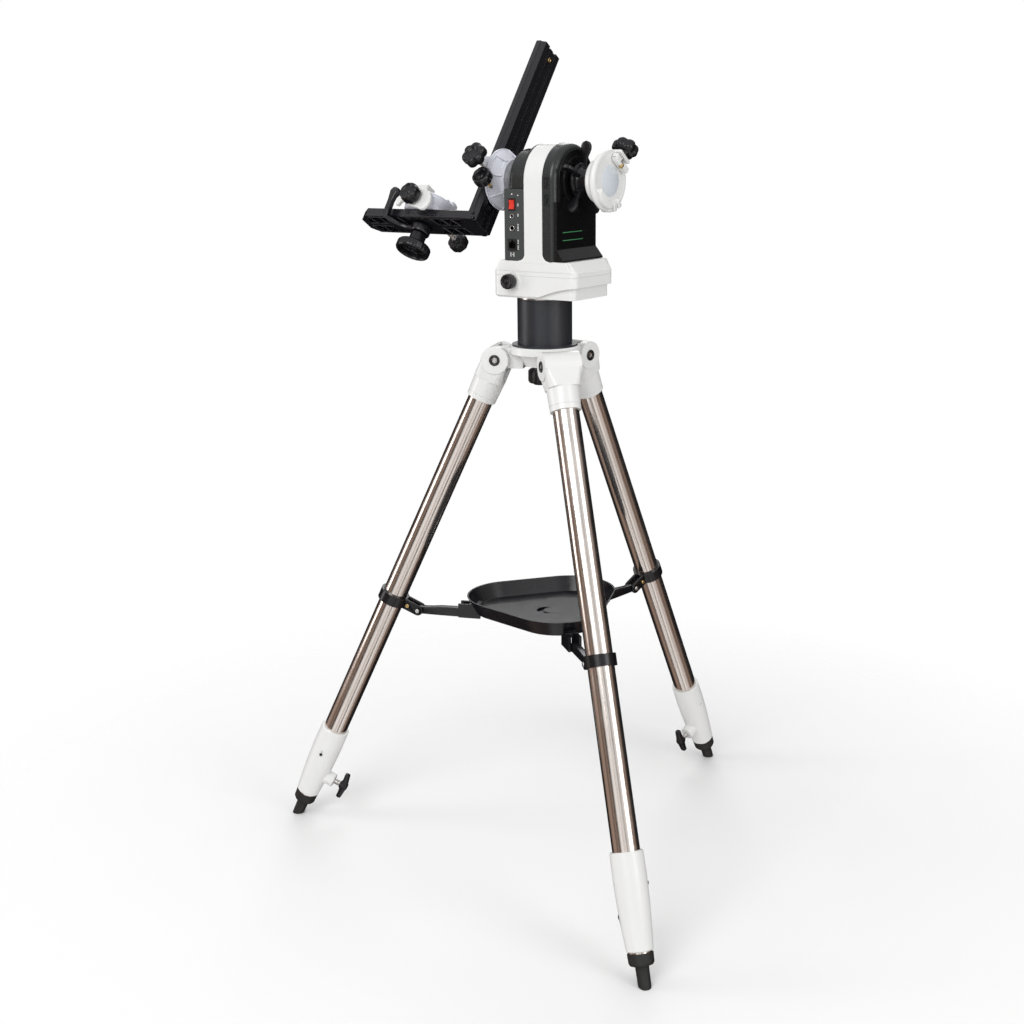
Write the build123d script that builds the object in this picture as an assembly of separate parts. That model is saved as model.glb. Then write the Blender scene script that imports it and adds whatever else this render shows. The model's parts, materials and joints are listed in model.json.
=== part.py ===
from build123d import *
import math
import os

# Millimetres. +Z up, origin on the ground under the azimuth axis, +X along the altitude axis
# towards the clutch side, +Y away from the connector side.

GAP = 0.05  # radial clearance of every running fit
SEAT = 0.1  # clearance between pieces that are fixed together

# Tripod
TUBE_R = 19.05
FOOT_RADIUS = 430.4
LEG_TILT = 24.89
PIVOT_Z = 777.0
PIVOT_RADIUS = FOOT_RADIUS - PIVOT_Z * math.tan(math.radians(LEG_TILT))
LEG_LENGTH = PIVOT_Z / math.cos(math.radians(LEG_TILT))
LEG_AZIMUTHS = {"1": -37.3, "2": 82.7, "3": 202.7}
TUBE_WALL = 1.6
INNER_R = TUBE_R - TUBE_WALL - 1.0
EAR_R = 20.5
LUG_HALF = 15.0
BRACKET_HALF = 27.5
CASTING_LOW = -LEG_LENGTH + 46
CASTING_TOP = -LEG_LENGTH + 177
CLAMP_Z = -LEG_LENGTH + 86

# Spreader
TILT_SIN = math.sin(math.radians(LEG_TILT))
TILT_COS = math.cos(math.radians(LEG_TILT))
ARM_Z = 375.0
ARM_INNER = 133.0
COLLAR_EAR = 45.5
COLLAR_Z = (ARM_Z - PIVOT_Z + COLLAR_EAR * TILT_SIN) / TILT_COS
ARM_OUTER = PIVOT_RADIUS - COLLAR_EAR * TILT_COS - COLLAR_Z * TILT_SIN
CATCH_X = (104.0, ARM_INNER + 6.0)
WEB_END = 122.0
TRAY_FLOOR = 388.0
TRAY_RIM = 409.0

# Pier
HUB_TOP = 798.0
PIER_TOP = 867.0
PIER_R = 40.0
FLANGE_TOP = 870.0

# Head
BASE_BOTTOM = FLANGE_TOP + 0.3
SEAM_Z = 902.0
BASE_TOP = 923.0
BASE_X = (-56.0, 87.0)
BASE_HALF = 51.0
WALL = 3.0
TOP_INSET = 12.0
TOP_EDGE = 1.5
ARCH_X = (2.0, 33.0)
ARCH_R = 51.6
ALT_Z = 1033.0
LEFT_X = -33.0
LEFT_R = 44.0
RIGHT_X = 53.0
COVER_X = 56.0
FLARE_X = 68.0
PANEL_HALF = 51.5
PANEL_X = -19.0
ROCKER_Z = 1001.0

# Worm drives
WHEEL_TEETH = 72
MODULE = 0.9
WHEEL_R = WHEEL_TEETH * MODULE / 2
WORM_R = 5.0
WORM_OFFSET = WHEEL_R + WORM_R
WORM_PITCH = math.pi * MODULE
AZ_WHEEL_Z = 894.0
ALT_WHEEL_X = 18.0
AZ_SHAFT_R = 15.0
ALT_SHAFT_R = 10.0

# Saddles
SADDLE_R = 42.0
RIGHT_SADDLE_X = 88.0
RIGHT_RIM = 112.0
RIGHT_TILT = -38.0
LEFT_SADDLE_X = -50.0
LEFT_SCREW_Y = -5.0
SAFETY_Y = -28.0
SAFETY_DEPTH = 67.0
KNOB_R = 18.5

# L-bracket and the small saddle on it
BRACKET_TILT = -35.4
BAR_X = (-91.0, -83.0)
BAR_FACE = -75.1
BAR_HALF = 24.0
BAR_TOP = 226.0
SHORT_END = -301.0
SHORT_S = (-81.0, -67.0)
AUX_X = -189.0
SCREW_X = 3.0
SCREW_Z = 8.5
AUX_REACH_FRONT = 43.0
AUX_REACH_REAR = 74.0
RIB_COUNT = 18
RIB_START = -112.0
RIB_PITCH = 10.0
RIB_DEPTH = 9.0


def rod(radius, low, high):
    height = high - low
    return Pos(0, 0, low + height / 2) * Cylinder(radius, height)


def pipe(outer, inner, low, high):
    return rod(outer, low, high) - rod(inner, low - 1, high + 1)


def cone(low_r, high_r, low, high):
    return Pos(0, 0, (low + high) / 2) * Cone(low_r, high_r, high - low)


def block(x, y, z):
    size = (x[1] - x[0], y[1] - y[0], z[1] - z[0])
    centre = ((x[0] + x[1]) / 2, (y[0] + y[1]) / 2, (z[0] + z[1]) / 2)
    return Pos(*centre) * Box(*size)


def lathe(points):
    """A closed outline of (radius, z) points turned about Z."""
    face = Plane.XZ * make_face(Polyline(*points, close=True))
    return revolve(face, axis=Axis.Z)


def along_x(x=0.0, y=0.0, z=0.0):
    """Turns +Z to +X and starts at the given point."""
    return Location((x, y, z), (0, 90, 0))


def along_y(x=0.0, y=0.0, z=0.0):
    """Turns +Z to -Y and starts at the given point."""
    return Location((x, y, z), (90, 0, 0))


def polar(count, first=0.0):
    return [Rot(0, 0, first + 360 * i / count) for i in range(count)]


def save(node, shape):
    export_step(shape, f"parts/{node}.step")


def group(*shapes):
    return Compound(children=[solid for shape in shapes for solid in shape.solids()])


def leg_place(azimuth):
    """The leg's frame: origin at its pivot, Z up along the leg, X outward, Y tangential."""
    a = math.radians(azimuth)
    t = math.radians(LEG_TILT)
    origin = (PIVOT_RADIUS * math.cos(a), PIVOT_RADIUS * math.sin(a), PIVOT_Z)
    outward = (math.cos(t) * math.cos(a), math.cos(t) * math.sin(a), math.sin(t))
    up_leg = (-math.sin(t) * math.cos(a), -math.sin(t) * math.sin(a), math.cos(t))
    return Plane(origin=origin, x_dir=outward, z_dir=up_leg).location


def star_knob(lobes, radius, height, screw_r, screw_length):
    """A lobed grip on Z, its screw running down from the grip's underside at Z = 0."""
    grip = rod(radius, 0, height)
    scoop = radius * math.sin(math.pi / lobes) * 0.62
    for turn in polar(lobes):
        grip -= turn * Pos(radius + scoop * 0.45, 0, 0) * rod(scoop, -1, height + 1)
    grip = chamfer(grip.faces().sort_by(Axis.Z)[-1].edges(), 1.6)
    grip -= rod(radius * 0.42, height - 1.5, height + 1)
    return grip + rod(radius * 0.4, -3, 0) + rod(screw_r, -screw_length, 0)


def round_knob(radius, height, screw_r, screw_length, notches=18):
    """A knurled round grip on Z, its screw running down from Z = 0."""
    grip = chamfer(rod(radius, 0, height).edges(), 1.2)
    for turn in polar(notches):
        grip -= turn * Pos(radius + 0.5, 0, 0) * rod(1.4, -1, height + 1)
    grip -= rod(radius * 0.55, height - 1.2, height + 1)
    return grip + rod(radius * 0.45, -3, 0) + rod(screw_r, -screw_length, 0)


def worm_wheel(bore_r, width):
    wheel = rod(WHEEL_R + MODULE, -width / 2, width / 2)
    wheel -= rod(bore_r, -width, width)
    tooth_gap = Pos(WHEEL_R + MODULE, 0, 0) * Box(4.4 * MODULE, WORM_PITCH * 0.62, width * 2)
    for turn in polar(WHEEL_TEETH, 180 / WHEEL_TEETH):
        wheel -= turn * tooth_gap
    return wheel


def worm(half_thread, half_shaft):
    """A worm on Z with a thread ring in every tooth space of the wheel."""
    core = WORM_R - MODULE
    shape = rod(core, -half_thread, half_thread) + rod(3 - GAP, -half_shaft, half_shaft)
    for i in (-1.5, -0.5, 0.5, 1.5):
        mid = i * WORM_PITCH
        shape += rod(WORM_R + 0.4 * MODULE, mid - 0.42, mid + 0.42)
    return shape


def saddle_cup(back, rim):
    """A saddle's cup turned about Z, its back at `back` and its rim plane at `rim`."""
    depth = rim - back
    return lathe(
        [
            (0, back),
            (29, back),
            (31, back + depth * 0.12),
            (31, back + depth * 0.3),
            (36, back + depth * 0.5),
            (SADDLE_R, back + depth * 0.78),
            (SADDLE_R, rim - 1.5),
            (SADDLE_R - 1.5, rim),
            (0, rim),
        ]
    )


def dovetail_jaw(near, far, low, high, half_width, lean):
    """A jaw from `near` to `far` in X whose near face leans over the channel by `lean`."""
    side = [(near, low), (far, low), (far, high), (near - lean, high)]
    face = Plane.XZ * make_face(Polyline(*side, close=True))
    return Pos(0, half_width, 0) * extrude(face, amount=2 * half_width)


# Tripod head


def lug(azimuth):
    pivot = Pos(PIVOT_RADIUS, 0, PIVOT_Z)
    ear = pivot * Rot(90, 0, 0) * Cylinder(17, 2 * LUG_HALF)
    neck = block((30, PIVOT_RADIUS), (-LUG_HALF, LUG_HALF), (PIVOT_Z - 13, PIVOT_Z + 17))
    hole = pivot * Rot(90, 0, 0) * Cylinder(5 + SEAT, 80)
    return Rot(0, 0, azimuth) * (ear + neck - hole)


def hub_casting():
    hub = rod(52, HUB_TOP - 11, HUB_TOP) + cone(30, 40, PIVOT_Z - 9, HUB_TOP - 11)
    hub = chamfer(hub.faces().sort_by(Axis.Z)[-1].edges(), 1.5)
    for azimuth in LEG_AZIMUTHS.values():
        hub += lug(azimuth)
    return hub - rod(5.5, 700, 900)


def leg_pivot_bolts():
    bolts = []
    for azimuth in LEG_AZIMUTHS.values():
        bolt = Rot(90, 0, 0) * Cylinder(5, 2 * BRACKET_HALF + 2)
        for side in (-1, 1):
            bolt += Rot(90, 0, 0) * Pos(0, 0, side * (BRACKET_HALF + 1.6)) * Cylinder(7.5, 2.6)
        socket = Rot(90, 0, 0) * Pos(0, 0, BRACKET_HALF + 2) * Cylinder(3.6, 4)
        bolts.append(Rot(0, 0, azimuth) * Pos(PIVOT_RADIUS, 0, PIVOT_Z) * (bolt - socket))
    return group(*bolts)


def pier_tube():
    pier = pipe(PIER_R, PIER_R - 3, HUB_TOP, PIER_TOP)
    pier += rod(PIER_R - 2, HUB_TOP, HUB_TOP + 8) + rod(48, HUB_TOP, HUB_TOP + 2.5)
    pier += rod(PIER_R - 2, PIER_TOP - 8, PIER_TOP)
    return pier - rod(5 + GAP, 700, HUB_TOP + 20) - rod(AZ_SHAFT_R - 4, HUB_TOP + 30, 900)


def hub_lock_knob():
    place = Pos(0, 0, PIVOT_Z - 13) * Rot(180, 0, 0)
    return place * star_knob(6, 25, 23, 5, 45)


def az_shaft():
    """The fixed hollow post that the head turns on, with its flange on the pier."""
    shaft = rod(PIER_R - 0.5, PIER_TOP, FLANGE_TOP) + rod(AZ_SHAFT_R, FLANGE_TOP, 912)
    return shaft - rod(AZ_SHAFT_R - 4, 800, 950)


# Legs, in the leg's own frame


def leg_bracket():
    ear_outline = Pos(0, 0, 0) * Rot(90, 0, 0) * Cylinder(EAR_R, 2 * BRACKET_HALF)
    yoke = loft(
        [
            Plane.XY.offset(-34) * RectangleRounded(45, 47, 14),
            Plane.XY.offset(-8) * RectangleRounded(2 * EAR_R - 1, 2 * BRACKET_HALF, 6),
        ]
    )
    yoke += block((-EAR_R + 0.5, EAR_R - 0.5), (-BRACKET_HALF, BRACKET_HALF), (-8, 0))
    sleeve = cone(22.4, 23.6, -67, -34)
    body = ear_outline + yoke + sleeve
    body -= Rot(90, 0, 0) * Cylinder(17.6, 2 * LUG_HALF + 1)
    body -= Rot(0, LEG_TILT, 0) * block((-40, 0), (-LUG_HALF - 0.5, LUG_HALF + 0.5), (-19, 40))
    body -= rod(TUBE_R + SEAT, -80, -26)
    body -= Rot(90, 0, 0) * Cylinder(5 + GAP, 80)
    groove = pipe(40, 22.4, -60.5, -59)
    return body - groove


def outer_tube():
    return pipe(TUBE_R, TUBE_R - TUBE_WALL, CASTING_TOP - 45, -27)


def leg_casting():
    body = lathe(
        [
            (0, CASTING_LOW),
            (17, CASTING_LOW),
            (18.5, CASTING_LOW + 1.5),
            (21.0, CASTING_LOW + 33),
            (22.8, CASTING_LOW + 66),
            (23.5, CASTING_LOW + 98),
            (23.0, CASTING_TOP - 1.5),
            (22.0, CASTING_TOP),
            (0, CASTING_TOP),
        ]
    )
    boss = Pos(0, 0, CLAMP_Z) * Rot(0, -90, 0) * cone(12.5, 10.5, 8, 34)
    body += boss
    body -= rod(TUBE_R + SEAT, CASTING_TOP - 46, CASTING_TOP + 5)
    body -= rod(INNER_R + GAP, CASTING_LOW - 5, CASTING_TOP)
    body -= Pos(0, 0, CLAMP_Z) * Rot(0, -90, 0) * rod(4 + GAP, 5, 40)
    for side in (-1, 1):
        body -= Pos(0, side * 23, CASTING_TOP - 40) * Rot(90, 0, 0) * Cylinder(2, 3)
    return body


def inner_tube():
    return pipe(INNER_R, INNER_R - 2, -LEG_LENGTH + 44, -LEG_LENGTH + 440)


def foot(azimuth):
    body = lathe(
        [
            (0, -24 - LEG_LENGTH),
            (7, -24 - LEG_LENGTH),
            (9, -LEG_LENGTH + 3),
            (9.4, -LEG_LENGTH + 26),
            (15.5, -LEG_LENGTH + 28),
            (17.5, -LEG_LENGTH + 31),
            (18, -LEG_LENGTH + 43.5),
            (0, -LEG_LENGTH + 43.5),
        ]
    )
    body += rod(INNER_R - 2 - SEAT, -LEG_LENGTH + 43, -LEG_LENGTH + 60)
    placed = leg_place(azimuth) * body
    return placed - block((-600, 600), (-600, 600), (-80, 0))


def leg_clamp_knob():
    """A T-handle whose wings lie along the leg, its screw bearing on the inner tube."""
    hub = rod(6.5, 0, 12)
    wing = loft(
        [
            Plane.YZ.offset(3) * Pos(0, 6) * RectangleRounded(12, 12, 3),
            Plane.YZ.offset(22.5) * Pos(0, 5) * RectangleRounded(9, 8, 3),
        ]
    )
    handle = hub + wing + Rot(0, 0, 180) * wing + rod(4, -28.5, 0)
    return Pos(0, 0, CLAMP_Z) * Rot(0, -90, 0) * Pos(0, 0, 46) * handle


def leg_collar():
    """A split band with two ears, the arm's pin through their ends."""
    band = pipe(TUBE_R + 4, TUBE_R + SEAT, -8.5, 8.5)
    ears = Part()
    for side in (-1, 1):
        ear = block((-COLLAR_EAR, -TUBE_R - 2), (side * 7.4 - 2, side * 7.4 + 2), (-6.5, 6.5))
        tip = Pos(-COLLAR_EAR, side * 7.4, 0) * Rot(90, 0, 0) * Cylinder(6.5, 4)
        ears += ear + tip
    ears -= rod(TUBE_R + SEAT, -20, 20)
    ears += Pos(-COLLAR_EAR, 0, 0) * Rot(90, 0, 0) * Cylinder(2.5, 19)
    screw = Pos(-28, 0, 0) * Rot(90, 0, 0) * Cylinder(2.2, 21)
    return Pos(0, 0, COLLAR_Z) * (band + ears + screw)


def spreader_arm():
    """A level arm along X from its collar pin at the origin to the tray's catch at -X."""
    length = ARM_OUTER - ARM_INNER
    arm = block((-length, 0), (-5, 5), (-4.5, 4.5))
    arm += Rot(90, 0, 0) * Cylinder(5.5, 10)
    arm += Pos(-length, 0, 0) * Rot(90, 0, 0) * Cylinder(4.5, 10)
    for side in (-1, 1):
        arm -= block((-length + 8, -10), (side * 4 - 1.6, side * 4 + 1.6), (-2.6, 2.6))
    return arm - Rot(90, 0, 0) * Cylinder(2.5 + GAP, 20)


def tray_outline(grow, z):
    """A rounded triangle: the hull of three circles towards the legs."""
    lobes = Sketch()
    for azimuth in LEG_AZIMUTHS.values():
        a = math.radians(azimuth)
        lobes += Pos(52 * math.cos(a), 52 * math.sin(a)) * Circle(73 + grow)
    return Plane.XY.offset(z) * make_hull(lobes.edges())


def accessory_tray():
    tray = loft([tray_outline(-14, TRAY_FLOOR - 3), tray_outline(-1, TRAY_RIM)])
    tray -= loft([tray_outline(-17, TRAY_FLOOR), tray_outline(-3.5, TRAY_RIM + 0.01)])
    for azimuth in LEG_AZIMUTHS.values():
        cheeks = Part()
        for side in (-1, 1):
            cheeks += block(CATCH_X, (side * 8 - 2, side * 8 + 2), (ARM_Z - 6, TRAY_FLOOR + 3))
        cheeks += block((CATCH_X[0], WEB_END), (-10, 10), (TRAY_FLOOR - 3, TRAY_FLOOR + 4))
        tray += Rot(0, 0, azimuth) * cheeks
    moon = Pos(0, 0, TRAY_FLOOR) * (Cylinder(15, 20) - Pos(7, 5, 0) * Cylinder(13, 30))
    return tray - moon


# Head casings


def base_outline(inset, z):
    width = BASE_X[1] - BASE_X[0] - 2 * inset
    depth = 2 * BASE_HALF - 2 * inset
    middle = (BASE_X[0] + BASE_X[1]) / 2
    corner = RectangleRounded(width, depth, 11 - inset * 0.5)
    return Plane.XY.offset(z) * (Pos(middle, 0) * corner)


def top_outline(extra, z):
    """The base's upper edge: well inside the ends, close to the front and back."""
    width = BASE_X[1] - BASE_X[0] - 2 * (TOP_INSET + extra)
    depth = 2 * (BASE_HALF - TOP_EDGE - extra)
    middle = (BASE_X[0] + BASE_X[1]) / 2
    return Plane.XY.offset(z) * (Pos(middle, 0) * RectangleRounded(width, depth, 6))


def arch(radius, x, low):
    """An upright slab about the altitude axis with a half-round top."""
    slab = along_x(x[0], 0, ALT_Z) * rod(radius, 0, x[1] - x[0])
    return slab + block(x, (-radius, radius), (low, ALT_Z))


def base_casing():
    """The lower half of the base: an open tray with the azimuth bearing seat and worm posts."""
    body = extrude(base_outline(0, BASE_BOTTOM), amount=SEAM_Z - SEAT - BASE_BOTTOM)
    body = chamfer(body.faces().sort_by(Axis.Z)[0].edges(), 3)
    lip_face = Plane.XZ * make_face(
        Spline((18, BASE_BOTTOM), (40, 878), (62, 884), (100, 888))
        + Polyline((100, 888), (100, BASE_BOTTOM - 5), (18, BASE_BOTTOM - 5), (18, BASE_BOTTOM))
    )
    skirt = extrude(lip_face, amount=80, both=True)
    body -= skirt - extrude(base_outline(5, BASE_BOTTOM - 10), amount=40)
    body -= extrude(base_outline(8, BASE_BOTTOM + WALL), amount=60)
    body += pipe(24, AZ_SHAFT_R + 6, BASE_BOTTOM + 1, BASE_BOTTOM + 11)
    for side in (-1, 1):
        post = block(
            (WORM_OFFSET - 6, WORM_OFFSET + 6), (side * 18 - 2, side * 18 + 2), (BASE_BOTTOM + 1, 900)
        )
        body += post
    body -= Pos(WORM_OFFSET, 0, AZ_WHEEL_Z) * Rot(90, 0, 0) * Cylinder(3, 50)
    body -= rod(AZ_SHAFT_R + 1, 800, BASE_BOTTOM + 4) + rod(21 + SEAT, BASE_BOTTOM + 3, 900)
    knob_seat = along_y(-20, -44, AZ_WHEEL_Z) * rod(13, 0, 9.5)
    body += knob_seat - along_y(-20, -50, AZ_WHEEL_Z) * rod(6, 0, 10)
    return body - along_y(-20, -20, AZ_WHEEL_Z) * rod(4 + GAP, 0, 40)


def head_casting():
    """The white upper base and the arch in one casting, hollow, with the left bearing web."""
    lower = extrude(base_outline(0, SEAM_Z), amount=6)
    upper = loft([base_outline(0, SEAM_Z + 6), top_outline(0, BASE_TOP)])
    body = lower + upper + arch(ARCH_R, ARCH_X, SEAM_Z + 10)
    cavity = extrude(base_outline(WALL, SEAM_Z - 1), amount=7)
    cavity += loft([base_outline(WALL, SEAM_Z + 6), top_outline(WALL, BASE_TOP - WALL)])
    body -= cavity
    body -= arch(ARCH_R - WALL, (ARCH_X[0] + 5, ARCH_X[1] + 1), SEAM_Z + 5)
    body += along_x(ARCH_X[0], 0, ALT_Z) * rod(20, 0, 12)
    for side in (-1, 1):
        body += block(
            (ARCH_X[0] + 4, ALT_WHEEL_X + 6),
            (side * 19 - 2, side * 19 + 2),
            (ALT_Z - WORM_OFFSET - 6, ALT_Z - WORM_OFFSET + 5),
        )
    body -= along_x(ARCH_X[0] - 5, 0, ALT_Z) * rod(ALT_SHAFT_R + 1, 0, 60)
    body -= along_x(ARCH_X[0] + 4, 0, ALT_Z) * rod(15 + SEAT, 0, 60)
    body -= Pos(ALT_WHEEL_X, 0, ALT_Z - WORM_OFFSET) * Rot(90, 0, 0) * Cylinder(3, 60)
    return body - along_y(-20, -30, AZ_WHEEL_Z) * rod(13 + SEAT, 0, 40)


def left_shell():
    """The rounded dark housing left of the arch, open at the front for the connector panel."""
    x = (LEFT_X, ARCH_X[0] - SEAT)
    body = arch(LEFT_R, x, BASE_TOP + SEAT)
    edge = body.faces().sort_by(Axis.X)[0].edges().filter_by(lambda e: e.center().Z > BASE_TOP + 5)
    body = fillet(edge, 9)
    body += arch(ARCH_R - 1.5, (-4, ARCH_X[0] - SEAT), 1000) - block((-5, 3), (-60, 0), (0, 1024))
    body -= arch(LEFT_R - 2.5, (LEFT_X + 2.5, 10), BASE_TOP - 5)
    body -= block((LEFT_X - 1, 5), (-60, -36), (BASE_TOP - 1, 1023))
    return body - along_x(LEFT_X - 5, 0, ALT_Z) * rod(21, 0, 20)


def connector_panel():
    """The upright front panel, a shallow box with holes for its sockets, light and rocker."""
    x = (LEFT_X, ARCH_X[0] - SEAT)
    panel = block(x, (-PANEL_HALF, -36.2), (BASE_TOP + SEAT, 1022.5))
    panel = chamfer(panel.faces().sort_by(Axis.Y)[0].edges(), 0.8)
    panel -= block((x[0] + 2.5, x[1] - 2.5), (-PANEL_HALF + 2.5, -30), (BASE_TOP + 2.5, 1020))
    middle = PANEL_X
    panel -= block(*rocker_window())
    panel -= block((middle - 7.1, middle + 7.1), (-60, -45), (945 - 7.1, 945 + 7.1))
    panel -= along_y(middle, -45, 968) * rod(5.1, 0, 20)
    panel -= along_y(middle, -45, 985) * rod(4.1, 0, 20)
    return panel - along_y(middle, -45, 1015) * rod(1.6, 0, 20)


def rocker_window():
    return (PANEL_X - 4.6, PANEL_X + 4.6), (-60, -45), (ROCKER_Z - 7, ROCKER_Z + 7)


def power_rocker():
    """A see-saw rocker about X, its crown just proud of the panel."""
    outline = [(-6.6, 0), (-6.2, 3.2), (0, 1.9), (6.2, 3.2), (6.6, 0), (4.6, -5), (-4.6, -5)]
    face = Plane.YZ * make_face(Polyline(*[(-y, z) for z, y in outline], close=True))
    body = Pos(-4.2, 0, 0) * extrude(face, amount=8.4)
    body -= Pos(0, 2.5, 0) * Rot(0, 90, 0) * Cylinder(1 + GAP, 20)
    return Pos(PANEL_X, -PANEL_HALF + 1, ROCKER_Z) * body


def panel_sockets():
    middle = PANEL_X
    jack = along_y(middle, -40, 968) * rod(5, 0, 11.8)
    jack -= along_y(middle, -43, 968) * rod(2.75, 0, 20)
    shutter = along_y(middle, -40, 985) * rod(4, 0, 11.8) - along_y(middle, -43, 985) * rod(1.25, 0, 20)
    port = block((middle - 7, middle + 7), (-PANEL_HALF - 0.2, -40), (938, 952))
    port -= block((middle - 5.8, middle + 5.8), (-60, -41.5), (940.5, 948.5))
    port -= block((middle - 2, middle + 2), (-60, -41.5), (940, 951))
    light = along_y(middle, -40, 1015) * rod(1.5, 0, 11.8)
    bezel = block((middle - 4.5, middle + 4.5), (-43.5, -40), (ROCKER_Z - 6.9, ROCKER_Z + 6.9))
    for side in (-1, 1):
        bezel += Pos(middle + side * 4.45, -47, ROCKER_Z) * Box(0.2, 8, 2)
    return group(jack, shutter, port, light, bezel)


def right_shell():
    """The dark housing right of the arch, with a rounded edge and the right bearing seat."""
    x = (ARCH_X[1] + SEAT, RIGHT_X)
    body = arch(ARCH_R - 0.6, x, BASE_TOP + SEAT)
    rim = body.faces().sort_by(Axis.X)[-1].edges().filter_by(lambda e: e.center().Z > BASE_TOP + 5)
    body = fillet(rim, 9)
    body -= arch(ARCH_R - 3.6, (x[0] - 1, x[1] - 3), BASE_TOP + 3)
    body += along_x(x[0] + 1, 0, ALT_Z) * rod(20, 0, RIGHT_X - x[0] - 2)
    for z in (ALT_Z - 2, ALT_Z - 25):
        body -= block((37, 45), (-ARCH_R, -ARCH_R + 1.6), (z - 6.5, z + 6.5))
    body -= along_x(x[0] - 1, 0, ALT_Z) * rod(ALT_SHAFT_R + 1, 0, 40)
    return body - along_x(x[0] - 1, 0, ALT_Z) * rod(15 + SEAT, 0, 11)


def label_cover():
    """The black side cover with its flared foot."""
    x = (RIGHT_X + SEAT, COVER_X)
    cover = arch(ARCH_R - 9, x, BASE_TOP + SEAT + 0.4)
    cover += block(x, (-ARCH_R + 2, ARCH_R - 2), (BASE_TOP + 0.5, ALT_Z - 28))
    flare = Plane.XZ * make_face(
        Polyline(
            (x[0], BASE_TOP + 0.5), (FLARE_X, BASE_TOP + 0.5), (FLARE_X, BASE_TOP + 2.5), (x[1], 940),
            (x[0], 940), close=True,
        )
    )
    cover += Pos(0, ARCH_R - 2, 0) * extrude(flare, amount=2 * ARCH_R - 4)
    cover += along_x(x[0], 0, ALT_Z) * rod(33, 0, 5)
    return cover - along_x(0, 0, ALT_Z) * rod(ALT_SHAFT_R + 1, 0, 80)


def axis_bearings():
    az = pipe(21, AZ_SHAFT_R + GAP, BASE_BOTTOM + 3.1, BASE_BOTTOM + 11)
    left = along_x(ARCH_X[0] + 4.1, 0, ALT_Z) * pipe(15, ALT_SHAFT_R + GAP, 0, 7)
    right = along_x(ARCH_X[1] + 2, 0, ALT_Z) * pipe(15, ALT_SHAFT_R + GAP, 0, 7)
    return group(az, left, right)


def drive_motors():
    az = Pos(WORM_OFFSET, 20.5, AZ_WHEEL_Z) * Rot(-90, 0, 0) * rod(8, 0, 22)
    az -= Pos(WORM_OFFSET, 20, AZ_WHEEL_Z) * Rot(-90, 0, 0) * rod(3, 0, 6)
    alt = Pos(ALT_WHEEL_X, 21.5, ALT_Z - WORM_OFFSET) * Rot(-90, 0, 0) * rod(10, 0, 24)
    alt -= Pos(ALT_WHEEL_X, 21, ALT_Z - WORM_OFFSET) * Rot(-90, 0, 0) * rod(3, 0, 6)
    return group(az, alt)


def az_clutch_knob():
    """The knurled clutch knob on the front of the base."""
    return along_y(-20, -54, AZ_WHEEL_Z) * round_knob(11, 13, 4, 20, 16)


# Altitude assembly


def alt_shaft():
    shaft = along_x(LEFT_SADDLE_X, 0, ALT_Z) * rod(ALT_SHAFT_R, 0, RIGHT_SADDLE_X - LEFT_SADDLE_X)
    return shaft + along_x(LEFT_SADDLE_X + 0.1, 0, ALT_Z) * rod(20, 0, 15)


def alt_clutch_wheel():
    """Five upright paddles round a hub that screws down on the altitude axis."""
    hub = rod(24, -10, -4) + rod(19, -4, 12)
    fin = make_face(
        Polyline((12, -4), (30, -3), (38, -6), (44, -8), (51, -6), (54.5, 0), (51, 6), (44, 8), (38, 6),
                 (30, 3), (12, 4), close=True)
    )
    fin = extrude(Plane.XZ * fin, amount=2.2, both=True)
    for turn in polar(5):
        hub += turn * fin
    hub -= rod(ALT_SHAFT_R + GAP, -20, 20)
    return along_x(70, 0, ALT_Z) * Rot(0, 0, 175) * hub


def right_place():
    """The right saddle's frame: Z outward along the altitude axis, X towards its knob."""
    t = math.radians(RIGHT_TILT)
    up = (0, -math.sin(t), math.cos(t))
    return Plane(origin=(0, 0, ALT_Z), x_dir=up, z_dir=(1, 0, 0)).location


def right_saddle():
    rim = RIGHT_RIM
    cup = saddle_cup(RIGHT_SADDLE_X, rim)
    cup += dovetail_jaw(25, 40, rim - 1, rim + 9, 18, 3).mirror(Plane.YZ)
    cup += block((37.5, 41.5), (-13, 13), (rim - 8, rim + 9))
    cup = cup - rod(60, rim - 8, rim + 15) + (cup & rod(SADDLE_R, rim - 8, rim + 15))
    cup -= block((20, 37.4), (-18.2, 18.2), (rim - 4, rim + 12))
    cup += rod(18, rim - 1, rim + 0.6)
    return cup - Pos(30, 0, rim + 3) * Rot(0, 90, 0) * rod(4 + GAP, 0, 20)


def moving_jaw(low, high, screw_y, screw_z):
    """A sliding jaw, its face towards the channel and a blind pocket behind for its screw's tip."""
    jaw = dovetail_jaw(26, 33, low, high, 17.9, 3)
    return jaw - Pos(28.2, screw_y, screw_z) * Rot(0, 90, 0) * rod(4 + GAP, 0, 10)


def saddle_left_place():
    """The left saddle's frame: Z outward to -X, X towards its knobs across the bracket."""
    t = math.radians(-BRACKET_TILT)
    return Plane(origin=(0, 0, ALT_Z), x_dir=(0, -math.cos(t), math.sin(t)), z_dir=(-1, 0, 0)).location


def left_saddle():
    cup = saddle_cup(50.1, 74)
    cup += dovetail_jaw(24.5, 40, 73, 82.5, 18, 2).mirror(Plane.YZ)
    cup += block((37.5, 41.5), (-13, 13), (66, 84))
    cup = cup - rod(60, 60, 90) + (cup & rod(SADDLE_R, 60, 90))
    cup -= block((20, 37.4), (-18.2, 18.2), (70, 90))
    cup -= Pos(30, LEFT_SCREW_Y, 78) * Rot(0, 90, 0) * rod(4 + GAP, 0, 20)
    return cup - Pos(20, SAFETY_Y, SAFETY_DEPTH) * Rot(0, 90, 0) * rod(3 + GAP, 0, 20)


def bracket_place():
    """The bracket's frame: Z up along its long leg, Y across its width, X as the row's X."""
    return Pos(0, 0, ALT_Z) * Rot(BRACKET_TILT, 0, 0)


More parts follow.
